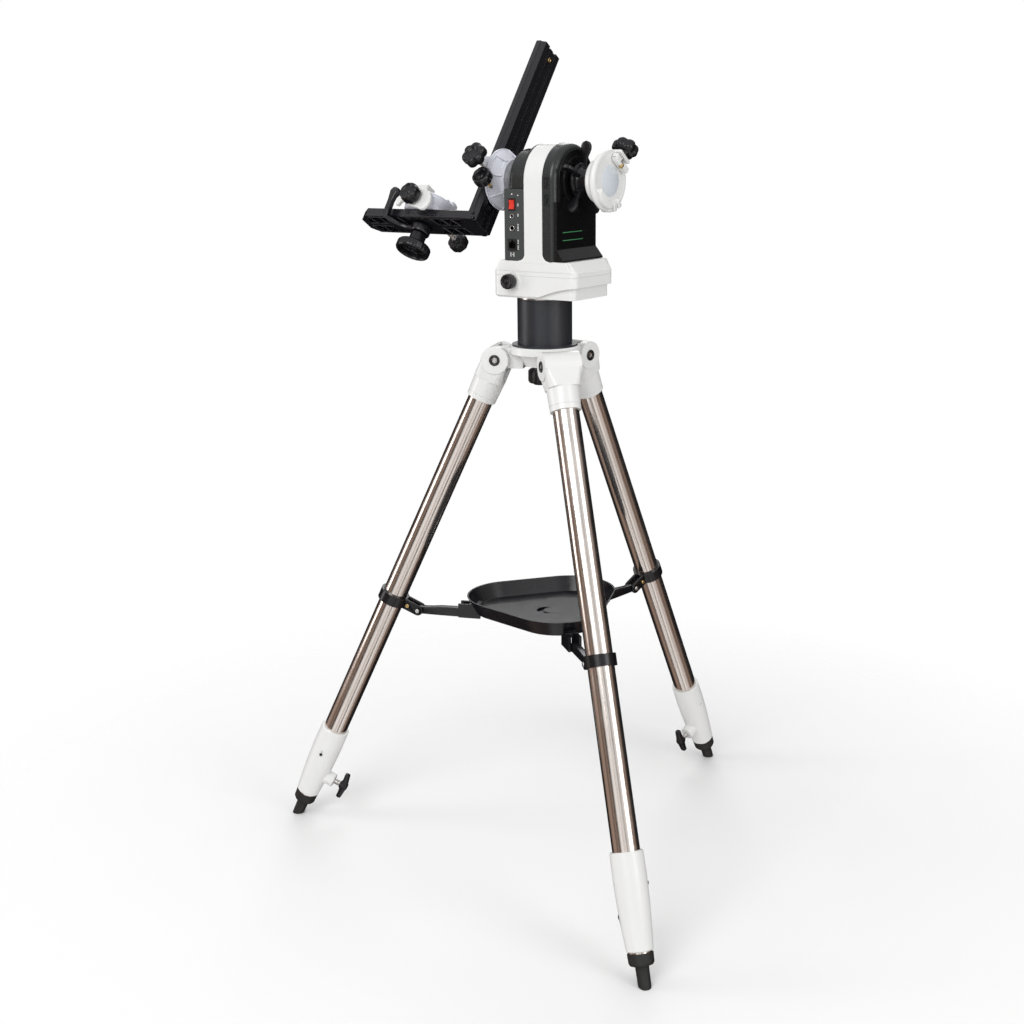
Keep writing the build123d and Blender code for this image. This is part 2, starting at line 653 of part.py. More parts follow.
def l_bracket():
    """The black L: a grooved dovetail bar, a bend, and a ribbed short leg."""
    profile = make_face(
        Polyline(
            (BAR_X[0], -BAR_HALF), (BAR_X[1] - 1, -BAR_HALF), (BAR_X[1], -BAR_HALF + 1),
            (BAR_X[1], -22.3), (BAR_FACE, -20), (BAR_FACE, -9), (BAR_FACE - 3.4, -9),
            (BAR_FACE - 3.4, -4), (BAR_FACE - 2, -4), (BAR_FACE - 2, 4), (BAR_FACE - 3.4, 4),
            (BAR_FACE - 3.4, 9), (BAR_FACE, 9), (BAR_FACE, 20), (BAR_X[1], 22.3),
            (BAR_X[1], BAR_HALF - 1), (BAR_X[1] - 1, BAR_HALF), (BAR_X[0], BAR_HALF),
            (BAR_X[0], 10), (BAR_X[0] + 3, 7), (BAR_X[0] + 3, -7), (BAR_X[0], -10), close=True,
        )
    )
    bar = Pos(0, 0, SHORT_S[0]) * extrude(profile, amount=BAR_TOP - SHORT_S[0])
    outline = Plane.XY.offset(SHORT_S[0]) * make_face(
        Polyline(
            (BAR_X[1], -BAR_HALF), (BAR_X[1], BAR_HALF), (SHORT_END + 16, BAR_HALF),
            (SHORT_END, 12), (SHORT_END, -12), (SHORT_END + 16, -BAR_HALF), close=True,
        )
    )
    short = extrude(outline, amount=SHORT_S[1] - SHORT_S[0])
    short = chamfer(short.edges().filter_by(Axis.X), 1.2)
    for side in (-1, 1):
        for i in range(RIB_COUNT):
            x = RIB_START - i * RIB_PITCH
            foot, tip = (4, 20) if i % 2 else (20, 4)
            if abs(x - AUX_X) > 28:
                pocket = Polyline((x - 8, side * foot), (x + 8, side * foot), (x, side * tip), close=True)
                short -= extrude(Plane.XY.offset(SHORT_S[0]) * make_face(pocket), amount=RIB_DEPTH)
    short -= Pos(AUX_X, 0, 0) * rod(6 + GAP, -100, 0)
    return bracket_place() * (bar + short)


def aux_place():
    """The small saddle's frame: origin on its pan axis at the bracket's top face, Z up from it."""
    return bracket_place() * Pos(AUX_X, 0, SHORT_S[1])


def aux_saddle():
    """The small white saddle: a round pan plate, two jaws and bosses for its two screws."""
    body = lathe([(0, 0.3), (33, 0.3), (36, 4), (39, 15), (40, 19), (40, 22), (38, 24), (0, 24)])
    body += rod(6, -22, 1)
    rear = block((-20, 28), (15, 36), (23, 42)) & rod(39, 0, 60)
    front = block((-16, 22), (-37, -16), (23, 34)) & rod(39, 0, 60)
    body += chamfer(rear.faces().sort_by(Axis.Z)[-1].edges(), 1.5)
    body += chamfer(front.faces().sort_by(Axis.Z)[-1].edges(), 1.5)
    body += Pos(SCREW_X, 0, SCREW_Z) * Rot(90, 0, 0) * Cylinder(7.5, 76)
    body -= block((-50, 50), (-16, 15), (24, 60))
    return body - Pos(SCREW_X, 0, SCREW_Z) * Rot(90, 0, 0) * Cylinder(4 + GAP, 100)


def aux_knob(side):
    """One of the two opposed adjusting knobs, its screw ending short of the pan axis."""
    reach = AUX_REACH_FRONT if side < 0 else AUX_REACH_REAR
    knob = round_knob(15, 17, 4, reach - 3, 8)
    return Pos(SCREW_X, side * reach, SCREW_Z) * Rot(-90 * side, 0, 0) * knob


def aux_hand_wheel():
    """The knurled wheel under the plate that locks the pan axis."""
    body = rod(12, -46, -29) + rod(26, -60, -46)
    for turn in polar(24):
        body -= turn * Pos(26.6, 0, 0) * rod(1.8, -61, -45)
    body -= rod(20, -61, -53)
    return body - rod(6 + GAP, -48, 0)


def aux_lock_lever():
    """A flat arm under the plate, turned up past its front edge."""
    arm = rod(15, -28, -15)
    arm += block((-50, 0), (-9, 9), (-26, -16))
    arm += block((-52, -38), (-38, 9), (-26, -16))
    arm += block((-52, -40), (-38, -27), (-26, 20))
    arm += block((-54, -36), (-42, -29), (16, 26))
    return arm - rod(6 + GAP, -60, 60)


def build_tripod():
    save("hub_casting", hub_casting())
    save("leg_pivot_bolts", leg_pivot_bolts())
    save("pier_tube", pier_tube())
    save("hub_lock_knob", hub_lock_knob())
    save("az_shaft", az_shaft())
    save("accessory_tray", accessory_tray())
    for name, azimuth in LEG_AZIMUTHS.items():
        place = leg_place(azimuth)
        save(f"leg_bracket_{name}", place * leg_bracket())
        save(f"outer_tube_{name}", place * outer_tube())
        save(f"leg_casting_{name}", place * leg_casting())
        save(f"inner_tube_{name}", place * inner_tube())
        save(f"foot_{name}", foot(azimuth))
        save(f"leg_clamp_knob_{name}", place * leg_clamp_knob())
        save(f"leg_collar_{name}", place * leg_collar())
        arm_place = Rot(0, 0, azimuth) * Pos(ARM_OUTER, 0, ARM_Z)
        save(f"spreader_arm_{name}", arm_place * spreader_arm())


def build_head():
    save("base_casing", base_casing())
    save("head_casting", head_casting())
    save("left_shell", left_shell())
    save("right_shell", right_shell())
    save("label_cover", label_cover())
    save("connector_panel", connector_panel())
    save("panel_sockets", panel_sockets())
    save("power_rocker", power_rocker())
    save("az_clutch_knob", az_clutch_knob())
    save("axis_bearings", axis_bearings())
    save("drive_motors", drive_motors())
    save("az_worm_wheel", Pos(0, 0, AZ_WHEEL_Z) * worm_wheel(AZ_SHAFT_R + SEAT, 8))
    save("az_worm", Pos(WORM_OFFSET, 0, AZ_WHEEL_Z) * Rot(90, 0, 0) * worm(14, 24))
    alt_worm_place = Pos(ALT_WHEEL_X, 0, ALT_Z - WORM_OFFSET) * Rot(90, 0, 0)
    save("alt_worm", alt_worm_place * worm(14, 25))


def build_altitude():
    save("alt_shaft", alt_shaft())
    save("alt_worm_wheel", along_x(ALT_WHEEL_X, 0, ALT_Z) * worm_wheel(ALT_SHAFT_R + SEAT, 8))
    save("alt_clutch_wheel", alt_clutch_wheel())
    right = right_place()
    save("right_saddle", right * right_saddle())
    save("right_jaw", right * moving_jaw(RIGHT_RIM - 3.8, RIGHT_RIM + 9, 0, RIGHT_RIM + 3))
    right_screw = right * Pos(46, 0, RIGHT_RIM + 3) * Rot(0, 90, 0)
    save("right_saddle_knob", right_screw * star_knob(6, KNOB_R, 16, 4, 12.7))
    left = saddle_left_place()
    save("left_saddle", left * left_saddle())
    save("left_jaw", left * moving_jaw(70.2, 82, LEFT_SCREW_Y, 78))
    left_screw = left * Pos(61, LEFT_SCREW_Y, 78) * Rot(0, 90, 0)
    save("left_saddle_knob", left_screw * star_knob(6, KNOB_R, 16, 4, 27.7))
    safety_screw = left * Pos(41, SAFETY_Y, SAFETY_DEPTH) * Rot(0, 90, 0)
    save("left_safety_knob", safety_screw * round_knob(14.5, 15, 3, 13))
    save("l_bracket", l_bracket())
    aux = aux_place()
    save("aux_saddle", aux * aux_saddle())
    save("aux_knob_front", aux * aux_knob(-1))
    save("aux_knob_rear", aux * aux_knob(1))
    save("aux_hand_wheel", aux * aux_hand_wheel())
    save("aux_lock_lever", aux * aux_lock_lever())


os.makedirs("parts", exist_ok=True)
build_tripod()
build_head()
build_altitude()
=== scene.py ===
import json
import math

import bmesh
import bpy
from mathutils import Matrix, Vector


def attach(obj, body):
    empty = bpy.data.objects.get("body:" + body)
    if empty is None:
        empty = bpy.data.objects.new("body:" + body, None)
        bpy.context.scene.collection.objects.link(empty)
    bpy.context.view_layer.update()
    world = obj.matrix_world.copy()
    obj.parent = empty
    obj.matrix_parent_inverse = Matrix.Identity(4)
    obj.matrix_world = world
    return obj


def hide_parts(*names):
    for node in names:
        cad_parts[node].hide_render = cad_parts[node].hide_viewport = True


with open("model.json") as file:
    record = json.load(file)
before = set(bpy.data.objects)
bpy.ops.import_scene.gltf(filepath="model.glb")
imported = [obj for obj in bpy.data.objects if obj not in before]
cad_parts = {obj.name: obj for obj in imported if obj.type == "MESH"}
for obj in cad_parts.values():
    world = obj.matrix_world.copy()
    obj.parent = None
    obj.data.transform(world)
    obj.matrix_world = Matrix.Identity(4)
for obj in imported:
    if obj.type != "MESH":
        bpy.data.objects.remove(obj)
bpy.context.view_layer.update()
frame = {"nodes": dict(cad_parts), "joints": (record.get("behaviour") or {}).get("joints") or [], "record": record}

JOINTS = {joint["name"]: joint for joint in frame["joints"]}
LEGS = ("1", "2", "3")
MM = 0.001


# ---------------------------------------------------------------- places taken from the frame


def matrix_from(origin, x, y, z):
    """A placement whose columns are the given axes."""
    axes = Matrix((Vector(x), Vector(y), Vector(z))).transposed().to_4x4()
    return Matrix.Translation(Vector(origin)) @ axes


def joint_place(name, side=None):
    """Origin at the joint, Z along its axis, X towards `side` or any square direction."""
    joint = JOINTS[name]
    z = Vector(joint["axis"]).normalized()
    hint = Vector(side) if side else Vector((1, 0, 0))
    if abs(hint.dot(z)) > 0.95:
        hint = Vector((0, 1, 0))
    x = (hint - z * hint.dot(z)).normalized()
    return matrix_from(joint["pos_m"], x, z.cross(x), z)


def leg_place(leg):
    """The leg's frame: origin at its pivot, Z up along the leg, X outward, Y tangential."""
    z = -Vector(JOINTS[f"leg_extend_{leg}"]["axis"]).normalized()
    y = Vector(JOINTS[f"leg_fold_{leg}"]["axis"]).normalized()
    return matrix_from(JOINTS[f"leg_fold_{leg}"]["pos_m"], y.cross(z), y, z)


def bracket_place():
    """The accessory bracket's frame: Z up its long leg, Y across its width, X as the row's."""
    z = Vector(JOINTS["aux_pan_turn"]["axis"]).normalized()
    y = Vector(JOINTS["aux_front_turn"]["axis"]).normalized()
    return matrix_from(JOINTS["altitude"]["pos_m"], y.cross(z), y, z)


def head_place():
    """Origin where the altitude axis crosses the azimuth axis, axes as the row's."""
    return Matrix.Translation(Vector(JOINTS["altitude"]["pos_m"]))


# ---------------------------------------------------------------- materials

BEVEL_SAMPLES = 6
GRAIN_DEPTH = 0.0004
COAT_ROUGHNESS = 0.12


def node(tree, kind, **inputs):
    """A new shader node with the named inputs set."""
    made = tree.nodes.new(kind)
    for name, value in inputs.items():
        made.inputs[name].default_value = value
    return made


def operation_node(tree, kind, operation, *sources):
    """A maths node fed by the given outputs, in order."""
    made = node(tree, kind)
    made.operation = operation
    for socket, source in zip(made.inputs, sources):
        tree.links.new(source, socket)
    return made.outputs["Value"]


def mix_colours(tree, factor):
    """A colour mix whose A and B are still to be set."""
    made = node(tree, "ShaderNodeMix")
    made.data_type = "RGBA"
    tree.links.new(factor, made.inputs["Factor"])
    return made


def ramp(tree, source, low, high, low_value, high_value):
    """Maps source from low..high to low_value..high_value."""
    made = node(tree, "ShaderNodeMapRange")
    made.inputs["From Min"].default_value = low
    made.inputs["From Max"].default_value = high
    made.inputs["To Min"].default_value = low_value
    made.inputs["To Max"].default_value = high_value
    tree.links.new(source, made.inputs["Value"])
    return made.outputs["Result"]


def noise(tree, coords, scale, detail, stretch=None):
    """Noise in object coordinates, stretched along an axis when asked."""
    if stretch:
        mapping = node(tree, "ShaderNodeMapping")
        mapping.inputs["Scale"].default_value = stretch
        tree.links.new(coords, mapping.inputs["Vector"])
        coords = mapping.outputs["Vector"]
    made = node(tree, "ShaderNodeTexNoise", Scale=scale, Detail=detail)
    tree.links.new(coords, made.inputs["Vector"])
    return made.outputs["Fac"]


def edge_mask(tree, radius):
    """Near 1 along edges and near 0 on open faces, with the rounded normal it came from."""
    bevel = node(tree, "ShaderNodeBevel", Radius=radius)
    bevel.samples = BEVEL_SAMPLES
    soft_normal = bevel.outputs["Normal"]
    flat_normal = node(tree, "ShaderNodeNewGeometry").outputs["Normal"]
    dot = operation_node(tree, "ShaderNodeVectorMath", "DOT_PRODUCT", soft_normal, flat_normal)
    return ramp(tree, dot, 0.98, 0.75, 0.0, 1.0), soft_normal


def finish_material(
    name,
    colour,
    roughness,
    metallic=0.0,
    tint=0.06,
    tint_scale=14.0,
    grain_scale=900.0,
    grain=0.04,
    stretch=None,
    edge_highlight=None,
    edge_highlight_amount=0.0,
    edge=0.7,
    coat=0.0,
    specular=0.5,
    anisotropic=0.0,
    gloss_spread=0.25,
):
    """A surface with broad colour drift, fine grain, softened edges and a painted highlight along the edges,
    broken into patches.
    """
    made = bpy.data.materials.new(name)
    made.use_nodes = True
    made.diffuse_color = (*colour, 1)
    tree = made.node_tree
    shader = tree.nodes["Principled BSDF"]
    coords = node(tree, "ShaderNodeTexCoord").outputs["Object"]

    drift = noise(tree, coords, tint_scale, 4.0)
    dark = tuple(c * (1 - tint) for c in colour)
    light = tuple(min(1.0, c * (1 + tint)) for c in colour)
    mix = mix_colours(tree, ramp(tree, drift, 0.3, 0.7, 0.0, 1.0))
    mix.inputs["A"].default_value = (*dark, 1)
    mix.inputs["B"].default_value = (*light, 1)
    shade = mix.outputs["Result"]

    mask, soft_normal = edge_mask(tree, edge * MM)
    # Painted highlight: the colour is lightened along edges, in noise patches, where a lamp would catch them.
    if edge_highlight:
        highlight_patches = ramp(tree, noise(tree, coords, 160.0, 5.0), 0.42, 0.62, 0.0, edge_highlight_amount)
        highlit_edges = mix_colours(tree, operation_node(tree, "ShaderNodeMath", "MULTIPLY", mask, highlight_patches))
        highlit_edges.inputs["B"].default_value = (*edge_highlight, 1)
        tree.links.new(shade, highlit_edges.inputs["A"])
        shade = highlit_edges.outputs["Result"]
    tree.links.new(shade, shader.inputs["Base Color"])

    fine = noise(tree, coords, grain_scale, 2.0, stretch)
    spread = roughness * gloss_spread
    patches = noise(tree, coords, tint_scale * 5, 3.0)
    gloss = ramp(tree, patches, 0.3, 0.7, roughness - spread, roughness + spread)
    tree.links.new(gloss, shader.inputs["Roughness"])
    bump = node(tree, "ShaderNodeBump", Strength=grain, Distance=GRAIN_DEPTH)
    tree.links.new(fine, bump.inputs["Height"])
    tree.links.new(soft_normal, bump.inputs["Normal"])
    tree.links.new(bump.outputs["Normal"], shader.inputs["Normal"])

    shader.inputs["Metallic"].default_value = metallic
    shader.inputs["Coat Weight"].default_value = coat
    shader.inputs["Coat Roughness"].default_value = COAT_ROUGHNESS
    shader.inputs["Specular IOR Level"].default_value = specular
    shader.inputs["Anisotropic"].default_value = anisotropic
    return made


WHITE = finish_material(
    "white_gloss_paint", (0.80, 0.80, 0.785), 0.32, tint=0.01, grain_scale=1400, grain=0.04,
    edge=0.8, coat=0.25, gloss_spread=0.05,
)
PEARL = finish_material(
    "pearl_cast_paint", (0.70, 0.71, 0.78), 0.34, tint=0.015, grain_scale=1100, grain=0.08,
    edge=0.8, coat=0.25, gloss_spread=0.08,
)
# The second, paler colour given to the dark materials below is a painted highlight laid along their edges.
DARK_SHELL = finish_material(
    "dark_moulded_shell", (0.022, 0.025, 0.025), 0.27, tint=0.08, grain_scale=1800, grain=0.12,
    edge=0.8, edge_highlight=(0.12, 0.13, 0.13), edge_highlight_amount=0.35, specular=0.45, gloss_spread=0.1,
)
PANEL = finish_material(
    "grey_panel_plastic", (0.045, 0.05, 0.05), 0.46, tint=0.06, grain_scale=2200, grain=0.2,
    edge=0.5, edge_highlight=(0.18, 0.19, 0.19), edge_highlight_amount=0.3, specular=0.35, gloss_spread=0.1,
)
BLACK_PLASTIC = finish_material(
    "black_grained_plastic", (0.006, 0.006, 0.008), 0.24, tint=0.2, grain_scale=1500, grain=0.12,
    edge=0.8, edge_highlight=(0.08, 0.08, 0.095), edge_highlight_amount=0.5, specular=0.45, gloss_spread=0.12,
)
BLACK_METAL = finish_material(
    "black_anodised_metal", (0.008, 0.008, 0.011), 0.24, tint=0.15, grain_scale=1700, grain=0.12,
    edge=0.7, edge_highlight=(0.14, 0.14, 0.17), edge_highlight_amount=0.6, specular=0.6, gloss_spread=0.12,
)
PIER = finish_material(
    "dark_pier_paint", (0.020, 0.022, 0.028), 0.36, tint=0.05, grain_scale=1300, grain=0.1,
    edge=0.8, specular=0.5, gloss_spread=0.08,
)
COVER = finish_material(
    "black_side_cover", (0.004, 0.004, 0.0045), 0.26, tint=0.1, grain_scale=2200, grain=0.08,
    edge=0.8, edge_highlight=(0.09, 0.09, 0.09), edge_highlight_amount=0.3, specular=0.4, gloss_spread=0.06,
)
LEG_STEEL = finish_material(
    "polished_leg_steel", (0.74, 0.69, 0.65), 0.19, metallic=1.0, tint=0.05, tint_scale=5,
    grain_scale=500, grain=0.03, stretch=(1.0, 1.0, 0.02), edge=0.3, anisotropic=0.3,
)
STEEL = finish_material(
    "machined_steel", (0.62, 0.61, 0.6), 0.25, metallic=1.0, tint=0.06, grain_scale=800, grain=0.12,
    edge=0.3,
)
BRASS = finish_material(
    "machined_brass", (0.62, 0.45, 0.2), 0.28, metallic=1.0, tint=0.08, grain_scale=800, grain=0.12,
    edge=0.3,
)
ROCKER = finish_material(
    "red_rocker_plastic", (0.72, 0.035, 0.02), 0.28, tint=0.06, grain_scale=1500, grain=0.05,
    edge=0.5, coat=0.4,
)
SOCKET = finish_material(
    "socket_plastic", (0.006, 0.006, 0.006), 0.35, tint=0.2, grain_scale=2000, grain=0.1, edge=0.3,
)
# Its second, paler colour is a painted highlight along the foot's edges.
RUBBER = finish_material(
    "black_foot_rubber", (0.012, 0.012, 0.012), 0.62, tint=0.15, grain_scale=1200, grain=0.6,
    edge=1.0, edge_highlight=(0.07, 0.07, 0.065), edge_highlight_amount=0.5,
)
PALE_MARK = finish_material("pale_print", (0.62, 0.63, 0.62), 0.5, tint=0.05, grain=0.05, edge=0.1)
GREEN_MARK = finish_material(
    "green_print", (0.05, 0.26, 0.1), 0.45, tint=0.05, grain=0.05, edge=0.1,
)
STICKER = finish_material(
    "saddle_disc", (0.66, 0.71, 0.75), 0.26, tint=0.02, grain=0.04, edge=0.4, coat=0.4,
)

SLOT_LOOKS = {
    "white_paint": WHITE,
    "pearl_paint": PEARL,
    "dark_shell": DARK_SHELL,
    "black_plastic": BLACK_PLASTIC,
    "black_metal": BLACK_METAL,
    "pier_paint": PIER,
    "leg_steel": LEG_STEEL,
    "steel": STEEL,
    "brass": BRASS,
    "rocker_red": ROCKER,
    "socket_black": SOCKET,
    "foot_rubber": RUBBER,
    "cover_black": COVER,
}


def dress_cad_nodes():
    """Gives each CAD node the look of its slot; the connector panel has its own."""
    slots = {part["node"]: part["material_slot"] for part in frame["record"]["subparts"]}
    for name, body_object in frame["nodes"].items():
        body_object.data.materials.clear()
        look = PANEL if name == "connector_panel" else SLOT_LOOKS[slots[name]]
        body_object.data.materials.append(look)


dress_cad_nodes()


# ---------------------------------------------------------------- mesh building, in millimetres

SHARP_EDGE = math.radians(38)
POLE_RADIUS = 0.01


def rounded(points, radius, steps=4):
    """An open line of (radius, z) points with its inner corners turned into small curves."""
    made = [points[0]]
    for before, corner, after in zip(points, points[1:], points[2:]):
        a, b, c = Vector(before), Vector(corner), Vector(after)
        near = min(radius, (a - b).length * 0.45, (c - b).length * 0.45)
        start = b + (a - b).normalized() * near
        end = b + (c - b).normalized() * near
        for i in range(steps + 1):
            t = i / steps
            made.append(tuple(start * (1 - t) ** 2 + b * 2 * t * (1 - t) + end * t * t))
    made.append(points[-1])
    return made


def inset(outline, distance):
    """A closed outline moved inwards; it runs anticlockwise."""
    made = []
    count = len(outline)
    for i in range(count):
        before, here, after = (Vector(outline[(i + k) % count]) for k in (-1, 0, 1))
        first = (here - before).normalized()
        second = (after - here).normalized()
        normal = Vector((-first.y - second.y, first.x + second.x))
        if normal.length < 1e-6:
            normal = Vector((-first.y, first.x))
        made.append(tuple(here + normal.normalized() * distance))
    return made


def arc(centre, radius, start, end, steps):
    """Points on an arc, its angles in degrees."""
    angles = [math.radians(start + (end - start) * i / steps) for i in range(steps + 1)]
    return [(centre[0] + radius * math.cos(a), centre[1] + radius * math.sin(a)) for a in angles]


def add_object(name, data):
    made = bpy.data.objects.new(name, data)
    bpy.context.scene.collection.objects.link(made)
    return made


class Sculpt:
    """Gathers rings of points into one mesh, in millimetres, before it is placed."""

    def __init__(self):
        self.verts = []
        self.faces = []

    def rings(self, rings, place=None, cap=True):
        """Skins a list of equal rings; `cap` closes both ends."""
        place = place or Matrix.Identity(4)
        start = len(self.verts)
        count = len(rings[0])
        for ring in rings:
            self.verts += [place @ Vector(p) for p in ring]
        for i in range(len(rings) - 1):
            low, high = start + i * count, start + (i + 1) * count
            for k in range(count):
                n = (k + 1) % count
                self.faces.append((low + k, low + n, high + n, high + k))
        if cap:
            self.faces.append(tuple(start + k for k in reversed(range(count))))
            last = start + (len(rings) - 1) * count
            self.faces.append(tuple(last + k for k in range(count)))
        return self

    def lathe(self, profile, place=None, segments=64, lobes=None):
        """Turns (radius, z) points about Z; `lobes` may change a radius by its angle.

        A profile that starts off the axis makes a hollow ring, closed on itself."""
        rings = []
        for radius, z in profile:
            ring = []
            for k in range(segments):
                a = 2 * math.pi * k / segments
                r = max(radius, POLE_RADIUS)
                if lobes:
                    r = lobes(a, r)
                ring.append((r * math.cos(a), r * math.sin(a), z))
            rings.append(ring)
        hollow = profile[0][0] > POLE_RADIUS
        if hollow:
            rings.append(rings[0])
        return self.rings(rings, place, cap=not hollow)

    def prism(self, outline, low, high, place=None, edge=0.8, steps=3):
        """A plate with rounded rims between two heights."""
        rings = []
        for i in range(steps + 1):
            a = math.pi / 2 * i / steps
            rings.append((edge * (1 - math.sin(a)), low + edge * (1 - math.cos(a))))
        for i in range(steps + 1):
            a = math.pi / 2 * i / steps
            rings.append((edge * (1 - math.cos(a)), high - edge * (1 - math.sin(a))))
        made = [[(x, y, z) for x, y in inset(outline, depth)] for depth, z in rings]
        return self.rings(made, place)

    def loft(self, sections, place, power, segments):
        """Skins rounded-rectangle sections of (centre, half width, half height) across Z."""
        rings = []
        for (x, y, z), half_x, half_y in sections:
            ring = []
            for k in range(segments):
                a = 2 * math.pi * k / segments
                c, s = math.cos(a), math.sin(a)
                px = math.copysign(abs(c) ** (2 / power), c) * half_x
                py = math.copysign(abs(s) ** (2 / power), s) * half_y
                ring.append((x + px, y + py, z))
            rings.append(ring)
        return self.rings(rings, place)

    def build(self, name, slot, body, place, replaces=None, look=None):
        """Makes the piece, riding `body`, in its slot's look unless another is given."""
        mesh = bpy.data.meshes.new(name)
        mesh.from_pydata([v * MM for v in self.verts], [], self.faces)
        mesh.transform(place)
        made = bmesh.new()
        made.from_mesh(mesh)
        bmesh.ops.recalc_face_normals(made, faces=made.faces)
        made.to_mesh(mesh)
        made.free()
        mesh.materials.append(look or SLOT_LOOKS[slot])
        mesh.polygons.foreach_set("use_smooth", [True] * len(mesh.polygons))
        mesh.set_sharp_from_angle(angle=SHARP_EDGE)
        piece = add_object(name, mesh)
        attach(piece, body)
        if replaces:
            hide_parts(replaces)
        return piece


def turned_about(axis, degrees):
    """A turn about "X", "Y" or "Z" through the origin."""
    return Matrix.Rotation(math.radians(degrees), 4, axis)


def shift(x=0.0, y=0.0, z=0.0):
    """A move in millimetres, for placing a finished piece."""
    return Matrix.Translation((x * MM, y * MM, z * MM))


def moved(x=0.0, y=0.0, z=0.0):
    """A move in millimetres inside one piece."""
    return Matrix.Translation((x, y, z))


FLIP = turned_about("X", 180)
UPRIGHT = Matrix(((1, 0, 0, 0), (0, 0, -1, 0), (0, 1, 0, 0), (0, 0, 0, 1)))
HEAD = head_place()
AUX = matrix_from(JOINTS["aux_pan_turn"]["pos_m"], (1, 0, 0), JOINTS["aux_front_turn"]["axis"],
                  JOINTS["aux_pan_turn"]["axis"])
BRACKET = bracket_place()


# ---------------------------------------------------------------- knobs and wheels


def lobe_edge(count, depth, inner):
    """A radius rule that scoops `count` soft hollows into a grip's side beyond `inner`."""

    def rule(angle, radius):
        wave = 0.5 + 0.5 * math.cos(count * angle)
        share = min(1.0, max(0.0, (radius - inner) / (inner * 0.6)))
        return radius * (1 - depth * wave ** 1.8 * share)

    return rule


def screw_profile(radius, near, far):
    """A screw's outline with fine turned grooves."""
    profile = [(0, near)]
    pitch, groove = 1.1, 0.3
    count = max(2, int(abs(far - near) / pitch))
    step = (far - near) / count
    for i in range(count):
        z = near + step * i
        profile += [
            (radius, z + step * 0.1), (radius, z + step * 0.6), (radius - groove, z + step * 0.85),
        ]
    profile.append((0, far))
    return profile


def grip(name, place, body, outline, lobes, screw, replaces, screw_slot="steel"):
    """A moulded grip and its metal screw, which is given as (radius, reach)."""
    Sculpt().lathe(rounded(outline, 1.8), segments=132, lobes=lobes).build(
        name, "black_plastic", body, place, replaces
    )
    radius, reach = screw
    Sculpt().lathe(screw_profile(radius, -reach, -2.0), segments=28).build(
        f"{name}_screw", screw_slot, body, place
    )


def star_outline(radius, height):
    """The (radius, z) outline of a star grip, whose foot stands 3 mm below its origin."""
    return [
        (0, -3), (radius * 0.40, -3), (radius * 0.44, 0.4), (radius * 0.84, 0.6), (radius, 3.6),
        (radius, height - 3.6), (radius * 0.88, height), (radius * 0.50, height + 0.1),
        (radius * 0.40, height - 2.2), (radius * 0.14, height - 2.6), (0, height - 2.6),
    ]


def round_outline(radius, height):
    """The same for a round grip with a dished top."""
    return [
        (0, -3), (radius * 0.44, -3), (radius * 0.5, 0.2), (radius * 0.88, 0.4), (radius, 2.8),
        (radius, height - 3.0), (radius * 0.9, height), (radius * 0.72, height + 0.1),
        (radius * 0.64, height - 1.8), (radius * 0.3, height - 2.2), (radius * 0.22, height - 1.0),
        (0, height - 1.0),
    ]


def make_grips():
    star = star_outline(18.5, 16)
    star_lobes = lobe_edge(6, 0.17, 9)
    grip("right_star_grip", joint_place("right_knob_turn"), "right_knob", star, star_lobes,
         (4, 12.7), "right_saddle_knob")
    grip("left_star_grip", joint_place("left_knob_turn"), "left_knob", star, star_lobes,
         (4, 27.7), "left_saddle_knob")
    grip("safety_grip", joint_place("left_safety_turn"), "left_safety", round_outline(14.5, 15),
         lobe_edge(8, 0.06, 9), (3, 13), "left_safety_knob", "brass")
    knob, knurl = round_outline(15, 17), lobe_edge(8, 0.07, 9)
    grip("aux_front_grip", joint_place("aux_front_turn") @ FLIP, "aux_front_knob", knob, knurl,
         (4, 40), "aux_knob_front")
    grip("aux_rear_grip", joint_place("aux_rear_turn"), "aux_rear_knob", knob, knurl,
         (4, 71), "aux_knob_rear")
    grip("az_clutch_grip", joint_place("az_clutch_turn") @ FLIP, "az_clutch", round_outline(11, 13),
         lobe_edge(16, 0.05, 7), (4, 20), "az_clutch_knob")
    grip("hub_lock_grip", joint_place("hub_lock_turn") @ shift(0, 0, 14) @ FLIP, "hub_lock",
         star_outline(25, 23), lobe_edge(6, 0.2, 12), (5, 45), "hub_lock_knob")


def make_hand_wheel():
    """The knurled wheel under the small saddle, with its neck."""
    outline = [
        (0, -29), (12, -29), (12, -43), (15, -46), (23.5, -46), (26, -48.5), (26, -57.5),
        (24.5, -60), (22, -60), (21, -58), (20, -50), (9, -49.5), (8, -55.5), (3, -56),
        (2.6, -54.5), (0, -54.5),
    ]
    Sculpt().lathe(rounded(outline, 1.2), segments=176, lobes=lobe_edge(22, 0.07, 22.5)).build(
        "aux_hand_wheel_rim", "black_plastic", "aux_wheel", AUX, "aux_hand_wheel"
    )


def make_clutch_wheel():
    """A flanged hub with five upright teardrop paddles."""
    place = joint_place("alt_clutch_turn", (0, 0, -1))
    wheel = Sculpt()
    wheel.lathe(
        rounded(
            [
                (13, -10), (23, -10), (24, -8.5), (24, -5.5), (22, -4), (18.5, -2.5), (17.5, 2),
                (17, 12), (13, 12),
            ],
            0.8,
        ),
        segments=96,
    )
    paddle = [
        (14, -4), (26, -3.2), (33, -3.6), (38, -6.2), (43, -8), (48, -7.8), (52, -5.4), (54.3, 0),
        (52, 5.4), (48, 7.8), (43, 8), (38, 6.2), (33, 3.6), (26, 3.2), (14, 4),
    ]
    first_turn, count = 175, 5
    for i in range(count):
        turn = turned_about("Z", first_turn + 360 / count * i)
        wheel.prism(paddle, -2.2, 2.2, turn @ UPRIGHT, edge=1.0)
    wheel.build("clutch_paddles", "black_plastic", "alt_clutch", place, "alt_clutch_wheel")


# ---------------------------------------------------------------- head


